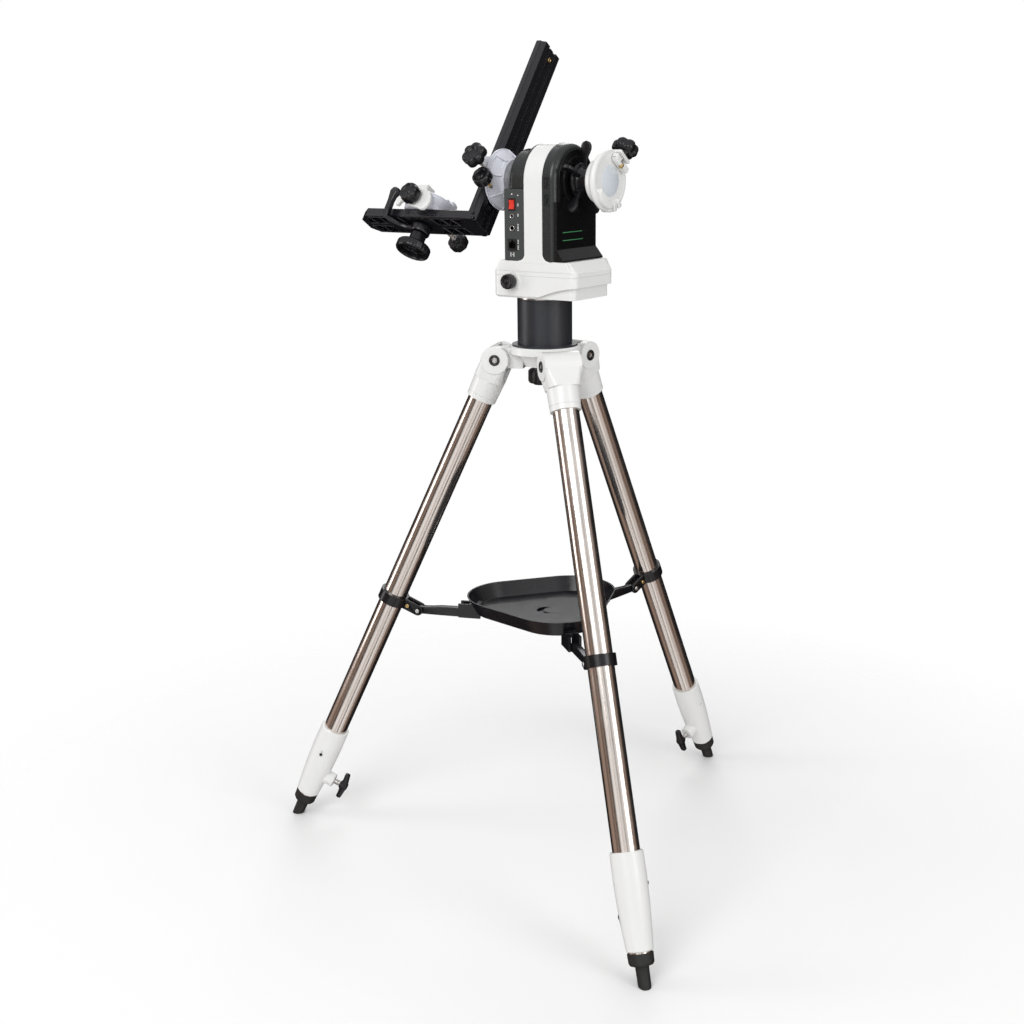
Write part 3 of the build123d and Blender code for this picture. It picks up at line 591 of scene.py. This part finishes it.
def square_ring(sculpt, outline, width, low, high, place):
    """A picture-frame ring with its outer edge on a closed outline."""
    edge = 0.3
    section = ((0, low), (0, high - edge), (edge, high), (width - edge, high), (width, high - edge),
               (width, low))
    rings = []
    for depth, z in section:
        rings.append([(x, y, z) for x, y in inset(outline, depth)])
    rings.append(rings[0])
    return sculpt.rings(rings, place, cap=False)


def box_outline(x, y):
    """A rectangle between two (low, high) pairs."""
    return [(x[0], y[0]), (x[1], y[0]), (x[1], y[1]), (x[0], y[1])]


PANEL_MIDDLE, PANEL_FRONT = -19, -51.5
PANEL_FACE = HEAD @ shift(PANEL_MIDDLE, PANEL_FRONT, 0) @ turned_about("X", 90)
COVER_FRONT = 56
SHELL_FRONT = -51
CASTING_FRONT = -48
BASE_TOP = -110
BASE_MIDDLE = 15.5
ARCH_MIDDLE = 17.5
PRINT_FOOT, PRINT_FACE = -0.1, 0.12


def make_panel_marks():
    """Dashes and a plain two-bar sign; nothing on the panel is lettering."""
    marks = Sculpt()
    dash_height, dash_pitch = 1.3, 2.2
    for z, count in ((-20, 1), (-32, 2), (-46, 2), (-60, 3), (-66, 2), (-82, 3), (-90, 3)):
        for i in range(count):
            low = z - dash_pitch * i
            dash = box_outline((9.3, 11.6), (low, low + dash_height))
            marks.prism(dash, PRINT_FOOT, PRINT_FACE, edge=0.08)
    bar_at, half = 2.6, 0.8
    for side in (-1, 1):
        bar = box_outline((side * bar_at - half, side * bar_at + half), (-104.5, -98.5))
        marks.prism(bar, PRINT_FOOT, PRINT_FACE, edge=0.08)
    dot = [(0, PRINT_FOOT), (half, PRINT_FOOT), (half, PRINT_FACE), (0, PRINT_FACE)]
    marks.lathe(dot, moved(0, -101.5, 0), segments=24)
    marks.build("panel_marks", "white_paint", "head", PANEL_FACE, look=PALE_MARK)

    frames = Sculpt()
    square_ring(frames, box_outline((-6.2, 6.2), (-40.6, -23.4)), 1.4, -0.1, 0.7, moved())
    square_ring(frames, box_outline((-8.2, 8.2), (-96.2, -79.8)), 1.1, -0.1, 0.5, moved())
    frames.build("panel_bezels", "socket_black", "head", PANEL_FACE)

    rings = Sculpt()
    for radius, z in ((3.4, -48), (4.1, -65)):
        outline = [
            (radius - 1, -0.2), (radius, -0.2), (radius, 0.5), (radius - 0.4, 0.8),
            (radius - 1, 0.4),
        ]
        rings.lathe(outline, moved(0, z, 0), segments=48)
    rings.lathe([(0, 0), (1.4, 0), (1.3, 0.5), (0.7, 0.9), (0, 1.0)], moved(0, -18, 0), segments=24)
    rings.build("panel_rings", "steel", "head", PANEL_FACE)


def make_cover_lines():
    """Two plain printed lines on the side cover."""
    lines = Sculpt()
    face = Matrix(((0, 0, 1, COVER_FRONT), (1, 0, 0, 0), (0, 1, 0, 0), (0, 0, 0, 1)))
    half = 0.55
    for z, ends in ((-70, (-34, 14)), (-81, (-34, 16))):
        lines.prism(box_outline(ends, (z - half, z + half)), PRINT_FOOT, 0.15, face, edge=0.1)
    lines.build("cover_lines", "cover_black", "head", HEAD, look=GREEN_MARK)


def make_shell_vents():
    """Two framed slots on the right shell's front edge."""
    vents = Sculpt()
    face = Matrix(((1, 0, 0, 0), (0, 0, -1, SHELL_FRONT), (0, 1, 0, 0), (0, 0, 0, 1)))
    for z in (-2, -25):
        square_ring(vents, box_outline((35.8, 46.2), (z - 7.6, z + 7.6)), 1.2, -0.6, 0.9, face)
        vents.prism(box_outline((38.6, 41.4), (z - 4.6, z + 4.6)), -1.6, 0.2, face, edge=0.3)
    vents.build("shell_vents", "black_plastic", "head", HEAD)


def make_arch_foot():
    """The arch's front and rear feet, spreading in a cove onto the base."""
    cove, steps, half_width, half_depth = 12.0, 12, 15.5, 3.9
    rings = [((ARCH_MIDDLE, CASTING_FRONT, BASE_TOP - 3), half_width + cove, half_depth)]
    for i in range(steps + 1):
        height = cove * i / steps
        spread = cove - math.sqrt(max(0.0, cove ** 2 - (cove - height) ** 2))
        middle = (ARCH_MIDDLE, CASTING_FRONT, BASE_TOP + height)
        rings.append((middle, half_width + spread, half_depth))
    for name, turn in (("arch_foot_front", 0), ("arch_foot_rear", 180)):
        flip = moved(ARCH_MIDDLE, 0, 0) @ turned_about("Z", turn) @ moved(-ARCH_MIDDLE, 0, 0)
        Sculpt().loft(rings, flip, power=9, segments=64).build(name, "white_paint", "head", HEAD)


def make_base_aprons():
    """The base's front and rear faces, rising flush into the arch."""
    rings = [
        ((0, CASTING_FRONT, z), half_width, half_depth)
        for z, half_width, half_depth in ((-124.6, 65.5, 3.5), (-113, 60, 3.85), (-110.3, 58, 3.7))
    ]
    for name, turn in (("base_apron_front", 0), ("base_apron_rear", 180)):
        place = moved(BASE_MIDDLE, 0, 0) @ turned_about("Z", turn)
        Sculpt().loft(rings, place, power=12, segments=96).build(name, "white_paint", "head", HEAD)


# ---------------------------------------------------------------- saddles


def saddle_frame(joint, axis_sign):
    """Z outward along the altitude axis, X towards the saddle's knob."""
    x = Vector(JOINTS[joint]["axis"]).normalized()
    z = Vector(JOINTS["altitude"]["axis"]).normalized() * axis_sign
    return matrix_from(JOINTS["altitude"]["pos_m"], x, z.cross(x), z)


RIGHT = saddle_frame("right_knob_turn", 1)
LEFT = saddle_frame("left_knob_turn", -1)


def make_right_saddle():
    """A coved cup with a smooth face, a fixed jaw, finger ridges and a raised ear for the screw."""
    rim = 112
    cup = Sculpt()
    cup.lathe(
        rounded(
            [
                (0, 88.3), (27, 88.3), (29.5, 90), (30.5, 93), (31, 97), (34, 100), (39, 103.5),
                (42, 107), (42, 110.5), (40.4, 112.4), (36.5, 112.8), (34.5, 112.2), (0, 112.2),
            ],
            1.8,
        ),
        segments=128,
    )
    cup.prism(
        [(-33, -19), (-26, -18), (-26, 18), (-33, 19), (-38, 11), (-40, 0), (-38, -11)], rim - 2,
        rim + 7.5, edge=2.6, steps=5,
    )
    ridge_turns = (212, 230, 248)
    for turn in ridge_turns:
        cup.prism(
            rounded_box(29.5, 42.6, 4.0), rim - 10, rim + 5.2, turned_about("Z", turn), edge=2.6,
            steps=4,
        )
    cup.prism(rounded_box(37.7, 42.8, 14.5), rim - 9, rim + 9.4, edge=1.8, steps=4)
    cup.build("right_saddle_cup", "white_paint", "altitude", RIGHT, "right_saddle")
    disc = [(0, rim), (21.5, rim), (21.5, rim + 0.5), (21, rim + 0.8), (0, rim + 0.8)]
    Sculpt().lathe(disc).build("saddle_disc", "pearl_paint", "altitude", RIGHT, look=STICKER)
    jaw = Sculpt()
    jaw.prism(
        [(23.8, -15), (26, -17.8), (28, -17.8), (28, 17.8), (26, 17.8), (23.8, 15)], rim + 0.9,
        rim + 9.6, edge=1.4, steps=4,
    )
    for side in (-1, 1):
        cheek = [(26.4, 5 * side), (33, 5 * side), (33, 17.8 * side), (26.4, 17.8 * side)]
        jaw.prism(cheek if side > 0 else cheek[::-1], rim + 0.9, rim + 9.6, edge=1.4, steps=4)
    jaw.build("right_jaw_body", "white_paint", "right_jaw_body", RIGHT, "right_jaw")
    pin = matrix_from((0, 0, 0), (0, 1, 0), (0, 0, 1), (1, 0, 0))
    Sculpt().lathe(screw_profile(3.4, 22.5, 27.6), moved(0, 0, rim + 8.0) @ pin, segments=32).build(
        "jaw_barrel", "brass", "right_jaw_body", RIGHT
    )


def rounded_box(low, high, half):
    """A closed outline of a radial block with round corners."""
    points = []
    corner = 2.2
    for x, y, start in ((high, half, 0), (low, half, 90), (low, -half, 180), (high, -half, 270)):
        centre = (x - math.copysign(corner, x - (low + high) / 2), y - math.copysign(corner, y))
        points += arc(centre, corner, start, start + 90, 4)
    return points


def make_left_saddle_details():
    """Ribs down the left cup's outside, and the ring that joins their tops."""
    ribs = Sculpt()
    rib = [
        (32.4, 51.5), (37, 60), (43.0, 67.5), (43.0, 72.5), (41.6, 72.5), (41.6, 68.5),
        (35.6, 61.5), (30.5, 53),
    ]
    count = 8
    for i in range(count):
        turn = turned_about("Z", 360 / count * (i + 0.5))
        ribs.prism(rib, -1.3, 1.3, turn @ UPRIGHT, edge=0.6)
    ribs.lathe(
        [(41.7, 70.5), (43.4, 70.5), (44, 71.2), (44, 73.2), (43.2, 74), (41.7, 74)], segments=96,
    )
    ribs.build("left_saddle_ribs", "pearl_paint", "altitude", LEFT)


def make_bracket_details():
    """The brass end-stop screw and the two bolts in the bracket's corner."""
    along = matrix_from((0, 0, 0), (0, 1, 0), (0, 0, 1), (1, 0, 0))
    stop = Sculpt()
    stop.lathe(
        rounded(
            [(0, -3), (2.4, -3), (2.4, 2), (3.8, 2), (3.8, 5), (1.6, 5), (1.2, 4), (0, 4)], 0.5,
        ),
        moved(-78, 0, 208) @ along, segments=32,
    )
    stop.build("bar_stop_screw", "brass", "altitude", BRACKET)
    sideways = matrix_from((0, 0, 0), (0, 0, 1), (1, 0, 0), (0, 1, 0))
    bolts = Sculpt()
    for x, z in ((-84, -70), (-80.5, -78)):
        bolts.lathe(
            rounded(
                [(0, -25.0), (1.2, -24.4), (1.4, -25.2), (2.9, -25.0), (3.1, -23.8), (0, -23.8)],
                0.2,
            ),
            moved(x, 0, z) @ sideways, segments=32,
        )
    bolts.build("bracket_bolts", "black_metal", "altitude", BRACKET)


def make_bracket_ribs():
    """Raised borders round the triangular pockets under the short leg."""
    under = matrix_from((0, 0, -81.0), (1, 0, 0), (0, -1, 0), (0, 0, -1))
    ribs = Sculpt()
    first, pitch, count = -112, 10, 18
    pan_screw, clearance = -189, 28
    for side in (-1, 1):
        for i in range(count):
            x = first - pitch * i
            if abs(x - pan_screw) > clearance:
                foot, tip = (3.2, 21) if i % 2 else (20.8, 3)
                outline = [(x - 9.3, side * foot), (x + 9.3, side * foot), (x, side * tip)]
                turned = (tip > foot) == (side > 0)
                square_ring(ribs, outline if turned else outline[::-1], 1.0, -0.4, 0.9, under)
    ribs.build("bracket_ribs", "black_metal", "altitude", BRACKET)


def sweep(sculpt, stations, power, place=None):
    """Skins rounded-rectangle sections, each (centre, half across, half up), square to the path.

    The path runs in the X-Z plane or near it; `across` is the direction most like Y."""
    rings = []
    count, segments = len(stations), 28
    for i, (centre, half_a, half_b) in enumerate(stations):
        before = Vector(stations[max(i - 1, 0)][0])
        after = Vector(stations[min(i + 1, count - 1)][0])
        tangent = (after - before).normalized()
        across = Vector((0, 1, 0)) - tangent * tangent.y
        across.normalize()
        up = tangent.cross(across)
        ring = []
        for k in range(segments):
            a = 2 * math.pi * k / segments
            c, s = math.cos(a), math.sin(a)
            pa = math.copysign(abs(c) ** (2 / power), c) * half_a
            pb = math.copysign(abs(s) ** (2 / power), s) * half_b
            ring.append(tuple(Vector(centre) + across * pa + up * pb))
        rings.append(ring)
    return sculpt.rings(rings, place)


def make_lock_lever():
    """A cranked lever: a ring round the pan screw, a flat arm, and a thumb pad past the edge."""
    lever = Sculpt()
    lever.lathe(
        rounded([(7, -28), (14, -28), (15, -26.5), (15, -17), (13.5, -15), (7, -15)], 1.0),
        segments=72,
    )
    sweep(lever, [
        ((-10, 0, -21), 9.5, 4.6), ((-24, -3, -21), 7.5, 3.8), ((-36, -12, -21), 7.2, 3.6),
        ((-43, -24, -20.5), 7.4, 3.6), ((-46, -31, -18), 6.2, 4.0), ((-46.5, -33, -8), 4.6, 4.6),
        ((-46.5, -33.5, 6), 4.2, 4.6), ((-46, -34, 14), 4.6, 5.6), ((-44.5, -34.5, 20), 5.6, 7.4),
        ((-42.5, -34.5, 25), 5.0, 6.4), ((-41.5, -34.5, 27.5), 3.0, 3.6),
    ], power=5.0)
    lever.build("lock_lever_arm", "black_metal", "aux_lever", AUX, "aux_lock_lever")


def make_aux_saddle():
    """The small saddle: a coved cup, a tall rear jaw, a curled front jaw and its screw bosses."""
    body = Sculpt()
    body.lathe(
        rounded(
            [
                (0, 0.3), (32, 0.3), (35, 2.2), (35.5, 9), (38.5, 15), (40, 18), (40, 22),
                (38.4, 24.2), (34, 24.6), (32, 23.2), (0, 23.2),
            ],
            1.6,
        ),
        segments=112,
    )
    jaw = [(-20, 15), (26, 15), (28, 18), (25, 29), (14, 35.5), (-8, 36.5), (-18, 32), (-21, 20)]
    body.prism(jaw, 21, 38.5, edge=3.0, steps=5)
    body.prism(
        [(-9, 16), (13, 16), (14, 24), (10, 31), (-6, 31.5), (-10, 24)], 36, 43, edge=2.4, steps=5,
    )
    boss = matrix_from((0, 0, 0), (1, 0, 0), (0, 0, -1), (0, 1, 0))
    body.lathe(
        rounded([(4.4, -38), (7.5, -38), (7.9, -30), (7.9, 36), (7.2, 38.5), (4.4, 38.5)], 0.8),
        moved(3, 0, 8.5) @ boss, segments=48,
    )
    body.build("aux_saddle_body", "pearl_paint", "aux_pan", AUX, "aux_saddle")

    curl = Sculpt()
    outline = [
        (-29, -3), (-24, -4), (-21.5, 2), (-16, 5.2), (-8, 2.6), (-5, -3), (3, -5), (14, -7),
        (20, -9.5), (26, -9), (31, -4), (33.5, 5), (31, 14), (25, 21), (17, 23), (9, 25.5), (0, 27),
        (-10, 26), (-21, 21.5), (-27.5, 14), (-30, 5),
    ]
    curl.prism(outline, 33.5, 40.5, UPRIGHT, edge=2.4, steps=4)
    curl.prism(
        [(-26, 10), (-16, 12), (14, 12), (26, 10), (22, 22), (0, 26), (-18, 22)], 16, 36, UPRIGHT,
        edge=2.0,
    )
    curl.prism([(-18, 17), (18, 17), (15, 34), (-12, 34)], 17, 37, UPRIGHT, edge=2.4, steps=4)
    curl.build("aux_front_jaw", "white_paint", "aux_pan", AUX)


# ---------------------------------------------------------------- tripod


def pan_head(sculpt, place, radius, height, socket=0.45):
    """A low screw head with a socket, on Z."""
    profile = [
        (0, 0), (radius, 0), (radius, height * 0.5), (radius * 0.86, height),
        (radius * socket, height), (radius * socket * 0.9, height * 0.3), (0, height * 0.3),
    ]
    return sculpt.lathe(rounded(profile, 0.3), place, segments=36)


def make_leg_details(leg):
    """The collar's ears and screws, the casting's screw, and the clamp's shaft and handle."""
    place = leg_place(leg)
    pin = place.inverted() @ Vector(JOINTS[f"arm_fold_{leg}"]["pos_m"])
    collar_x, collar_z = pin.x / MM, pin.z / MM
    body = f"leg_{leg}"
    screw_x, screw_face, pivot_face = -28, 9.8, 9.2
    gold, silver = Sculpt(), Sculpt()
    for side in (-1, 1):
        out = turned_about("X", -90 * side)
        pan_head(gold, moved(screw_x, side * screw_face, collar_z) @ out, 3.3, 2.4)
        pan_head(silver, moved(collar_x, side * pivot_face, collar_z) @ out, 3.6, 2.6, 0.3)
    ears = Sculpt()
    ear_thickness = 3.8
    ear = arc((collar_x, 0), 8.2, 90, 270, 12) + [
        (-24, -8.4), (-20.5, -8.4), (-20.5, 8.4), (-24, 8.4),
    ]
    for low in (5.6, -9.4):
        ears.prism(ear, low, low + ear_thickness, moved(0, 0, collar_z) @ UPRIGHT, edge=0.9)
    ears.build(f"collar_ears_{leg}", "black_plastic", body, place)
    gold.build(f"collar_screws_{leg}", "brass", body, place)
    silver.build(f"collar_pivot_caps_{leg}", "steel", body, place)

    clamp = place.inverted() @ Vector(JOINTS[f"leg_clamp_turn_{leg}"]["pos_m"])
    casting_side, above_clamp = 23.6, 46
    screw_place = moved(0, casting_side, clamp.z / MM + above_clamp) @ turned_about("X", -90)
    pan_head(Sculpt(), screw_place, 2.6, 1.4).build(
        f"casting_screw_{leg}", "black_metal", body, place,
    )

    shaft = joint_place(f"leg_clamp_turn_{leg}", tuple(place.col[2].xyz))
    Sculpt().lathe(screw_profile(4.25, -26, 0.5), segments=32).build(
        f"clamp_shaft_{leg}", "steel", f"leg_clamp_{leg}", shaft
    )
    handle = Sculpt()
    handle.lathe(
        rounded([(0, -1), (5.6, -1), (6.8, 1), (6.8, 10), (5.2, 12.4), (0, 12.4)], 1.2),
        segments=64,
    )
    for turn in (0, 180):
        sweep(
            handle,
            [
                ((3, 0, 6), 6.0, 5.8), ((9, 0, 6), 5.4, 5.0), ((15, 0, 5.7), 4.8, 4.4),
                ((20, 0, 5.2), 4.7, 4.2), ((22.2, 0, 5), 4.3, 3.8), ((23.2, 0, 5), 3.0, 2.6),
            ],
            power=3.4, place=turned_about("Z", turn),
        )
    handle.build(
        f"clamp_handle_{leg}", "black_plastic", f"leg_clamp_{leg}", shaft, f"leg_clamp_knob_{leg}",
    )


def make_pivot_bolts():
    """The leg pivots' black rings and steel sockets."""
    bolt_face = 26.6
    black, bright = Sculpt(), Sculpt()
    for leg in LEGS:
        place = leg_place(leg)
        scaled = place.copy()
        scaled.translation = place.translation / MM
        for side in (-1, 1):
            out = scaled @ moved(0, side * bolt_face, 0) @ turned_about("X", -90 * side)
            black.lathe(
                rounded(
                    [(4.6, -1.5), (8.2, -1.5), (8.2, 1.6), (7.2, 2.6), (5.0, 2.6), (4.6, 0.4)], 0.6,
                ),
                out, segments=48,
            )
            bright.lathe(
                [(0, -1), (4.5, -1), (4.5, 0.9), (3.2, 1.1), (2.4, 0.1), (0, 0.1)], out, segments=6,
            )
    black.build(
        "pivot_bolt_rings", "black_metal", "tripod_hub", Matrix.Identity(4), "leg_pivot_bolts",
    )
    bright.build("pivot_bolt_sockets", "steel", "tripod_hub", Matrix.Identity(4))


def make_tray_boss():
    """The round boss under the tray's cut-out."""
    low, tray_underside, radius = 376, 384.8, 18.5
    profile = [(0, low), (16, low), (radius, 378), (radius, tray_underside), (0, tray_underside)]
    Sculpt().lathe(rounded(profile, 0.8), segments=96).build(
        "tray_boss", "black_plastic", "tray", shift(),
    )


TRAY_CATCH = 133.0


def make_arm(leg):
    """A spreader arm that deepens towards the tray."""
    joint = JOINTS[f"arm_fold_{leg}"]
    out = -Vector(joint["pos_m"])
    out.z = 0
    place = joint_place(f"arm_fold_{leg}", tuple(out))
    down = place.inverted() @ (Vector(joint["pos_m"]) + Vector((0, 0, 1)))
    sign = 1 if down.y > 0 else -1
    reach = Vector(joint["pos_m"]).xy.length / MM - TRAY_CATCH
    side = [
        (-5.2, -3.2), (-2.5, -5.6), (3, -6), (reach * 0.5, -6.6), (reach - 2, -6.8),
        (reach + 3, -4.5), (reach + 4, 0), (reach + 2.5, 5), (reach - 4, 7.2), (reach - 12, 8.2),
        (reach * 0.5, 7.6), (reach * 0.3, 6.2), (14, 5.8), (3, 5.8), (-3.4, 5), (-5.6, 1),
    ]
    outline = [(x, y * sign) for x, y in side]
    if sign < 0:
        outline.reverse()
    half_thickness = 4.9
    arm = Sculpt().prism(outline, -half_thickness, half_thickness, edge=1.1)
    arm.build(f"spreader_web_{leg}", "black_plastic", f"arm_{leg}", place, f"spreader_arm_{leg}")


make_grips()
make_hand_wheel()
make_clutch_wheel()
make_panel_marks()
make_cover_lines()
make_shell_vents()
make_arch_foot()
make_base_aprons()
make_right_saddle()
make_left_saddle_details()
make_bracket_details()
make_bracket_ribs()
make_lock_lever()
make_aux_saddle()
for leg_name in LEGS:
    make_leg_details(leg_name)
    make_arm(leg_name)
make_pivot_bolts()
make_tray_boss()


# ---------------------------------------------------------------- stage, light and camera

CAMERA_DISTANCE = 2.0736
CAMERA_HEIGHT = 1.0948
CAMERA_AZIMUTH = math.radians(-54.5)
CAMERA_PITCH = 0.2594
CAMERA_YAW = -0.0248
CAMERA_ROLL = -0.0127
LENS, SENSOR = 49.85, 36
LIGHTS = (
    ("key_light", (0.4, -2.8, 2.6), (0, 0, 0.8), (1.8, 1.8), 46),
    ("fill_light", (2.8, -0.2, 1.6), (0, 0, 0.8), (1.2, 2.0), 20),
    ("back_light", (-1.6, 2.2, 2.4), (0, 0, 0.8), (1.6, 1.6), 24),
    ("left_light", (-2.4, -1.6, 1.2), (0, 0, 0.7), (0.8, 2.0), 15),
)
SOFT_LIGHT = 0.62
FLOOR_RADIUS = 2.4
FLOOR_HEIGHT = -0.0005
FADE_START, FADE_END = 0.5, 1.15


def make_camera():
    """Stands off the azimuth axis, aimed a little beside it, as a tripod-mounted camera would."""
    data = bpy.data.cameras.new("camera")
    data.lens = LENS
    data.sensor_width = SENSOR
    camera = add_object("camera", data)
    away = Vector((math.cos(CAMERA_AZIMUTH), math.sin(CAMERA_AZIMUTH), 0))
    place = away * CAMERA_DISTANCE + Vector((0, 0, CAMERA_HEIGHT))
    right = Vector((-away.y, away.x, 0))
    level = -away * math.cos(CAMERA_YAW) + right * math.sin(CAMERA_YAW)
    forward = level * math.cos(CAMERA_PITCH) - Vector((0, 0, math.sin(CAMERA_PITCH)))
    side = forward.cross(Vector((0, 0, 1))).normalized()
    up = side.cross(forward)
    turn = Matrix.Rotation(CAMERA_ROLL, 4, "Z")
    camera.matrix_world = matrix_from(place, side, up, -forward) @ turn
    bpy.context.scene.camera = camera


def area_light(name, place, target, size, power):
    data = bpy.data.lights.new(name, "AREA")
    data.shape = "RECTANGLE"
    data.size, data.size_y = size
    data.energy = power
    light = add_object(name, data)
    light.location = place
    aim = Vector(target) - Vector(place)
    light.rotation_euler = aim.to_track_quat("-Z", "Y").to_euler()


def background(tree, strength):
    return node(tree, "ShaderNodeBackground", Strength=strength, Color=(1, 1, 1, 1))


def mix_shaders(tree, factor, first, second):
    made = node(tree, "ShaderNodeMixShader")
    tree.links.new(factor, made.inputs["Fac"])
    tree.links.new(first, made.inputs[1])
    tree.links.new(second, made.inputs[2])
    return made.outputs["Shader"]


def make_world():
    """White to the camera and soft white as light; reflections see a dim room with bright panels.

    The panels stand on the camera's side, so that an upright tube shows white streaks, warm
    brown bands and dark edges."""
    world = bpy.data.worlds.new("studio")
    bpy.context.scene.world = world
    world.use_nodes = True
    tree = world.node_tree
    tree.nodes.clear()
    output = node(tree, "ShaderNodeOutputWorld")
    coords = node(tree, "ShaderNodeTexCoord").outputs["Generated"]
    split = node(tree, "ShaderNodeSeparateXYZ")
    tree.links.new(coords, split.inputs["Vector"])
    split_y, split_x = split.outputs["Y"], split.outputs["X"]
    turn = operation_node(tree, "ShaderNodeMath", "ARCTAN2", split_y, split_x)
    bands = node(tree, "ShaderNodeValToRGB")
    tree.links.new(ramp(tree, turn, -math.pi, math.pi, 0.0, 1.0), bands.inputs["Fac"])
    black, brown = (0.012, 0.011, 0.012), (0.10, 0.066, 0.05)
    tan, white = (0.36, 0.26, 0.21), (1.0, 0.98, 0.97)
    stops = (
        (0.000, black), (0.020, brown), (0.060, tan), (0.120, tan), (0.150, brown), (0.185, tan),
        (0.200, brown), (0.232, black), (0.245, white), (0.300, white), (0.318, tan),
        (0.332, white), (0.362, white), (0.374, brown), (0.392, brown), (0.404, white),
        (0.450, white), (0.475, tan), (0.500, white), (0.520, tan), (0.560, brown), (0.590, tan),
        (0.615, brown), (0.640, black), (0.900, black), (1.000, black),
    )
    elements = bands.color_ramp.elements
    while len(elements) < len(stops):
        elements.new(0.5)
    for element, (position, colour) in zip(elements, stops):
        element.position = position
        element.color = (*colour, 1)
    sky = mix_colours(tree, ramp(tree, split.outputs["Z"], 0.25, 0.75, 0.0, 1.0))
    sky.inputs["B"].default_value = (0.75, 0.75, 0.76, 1)
    tree.links.new(bands.outputs["Color"], sky.inputs["A"])
    room = background(tree, 1.0)
    tree.links.new(sky.outputs["Result"], room.inputs["Color"])
    path = node(tree, "ShaderNodeLightPath")
    light = mix_shaders(
        tree, path.outputs["Is Glossy Ray"], background(tree, SOFT_LIGHT).outputs["Background"],
        room.outputs["Background"],
    )
    seen = mix_shaders(
        tree, path.outputs["Is Camera Ray"], light, background(tree, 1.0).outputs["Background"]
    )
    tree.links.new(seen, output.inputs["Surface"])


def make_floor():
    """A pale round floor that fades into the white background."""
    mesh = bpy.data.meshes.new("floor")
    segments = 96
    angles = [2 * math.pi * i / segments for i in range(segments)]
    rim = [(FLOOR_RADIUS * math.cos(a), FLOOR_RADIUS * math.sin(a), FLOOR_HEIGHT) for a in angles]
    mesh.from_pydata(rim, [], [tuple(range(segments))])
    floor = add_object("floor", mesh)
    look = finish_material(
        "pale_floor", (0.9, 0.9, 0.9), 0.8, tint=0.01, tint_scale=1.0, grain=0.02, edge=0.1,
    )
    tree = look.node_tree
    coords = node(tree, "ShaderNodeTexCoord").outputs["Object"]
    distance = operation_node(tree, "ShaderNodeVectorMath", "LENGTH", coords)
    fade = ramp(tree, distance, FADE_START, FADE_END, 0.0, 1.0)
    shader = tree.nodes["Principled BSDF"]
    shader.inputs["Specular IOR Level"].default_value = 0.1
    output = tree.nodes["Material Output"]
    clear = node(tree, "ShaderNodeBsdfTransparent")
    faded = mix_shaders(tree, fade, shader.outputs["BSDF"], clear.outputs["BSDF"])
    tree.links.new(faded, output.inputs["Surface"])
    mesh.materials.append(look)
    floor.visible_glossy = False


make_camera()
for settings in LIGHTS:
    area_light(*settings)
make_world()
make_floor()
bpy.context.scene.view_settings.view_transform = "Standard"
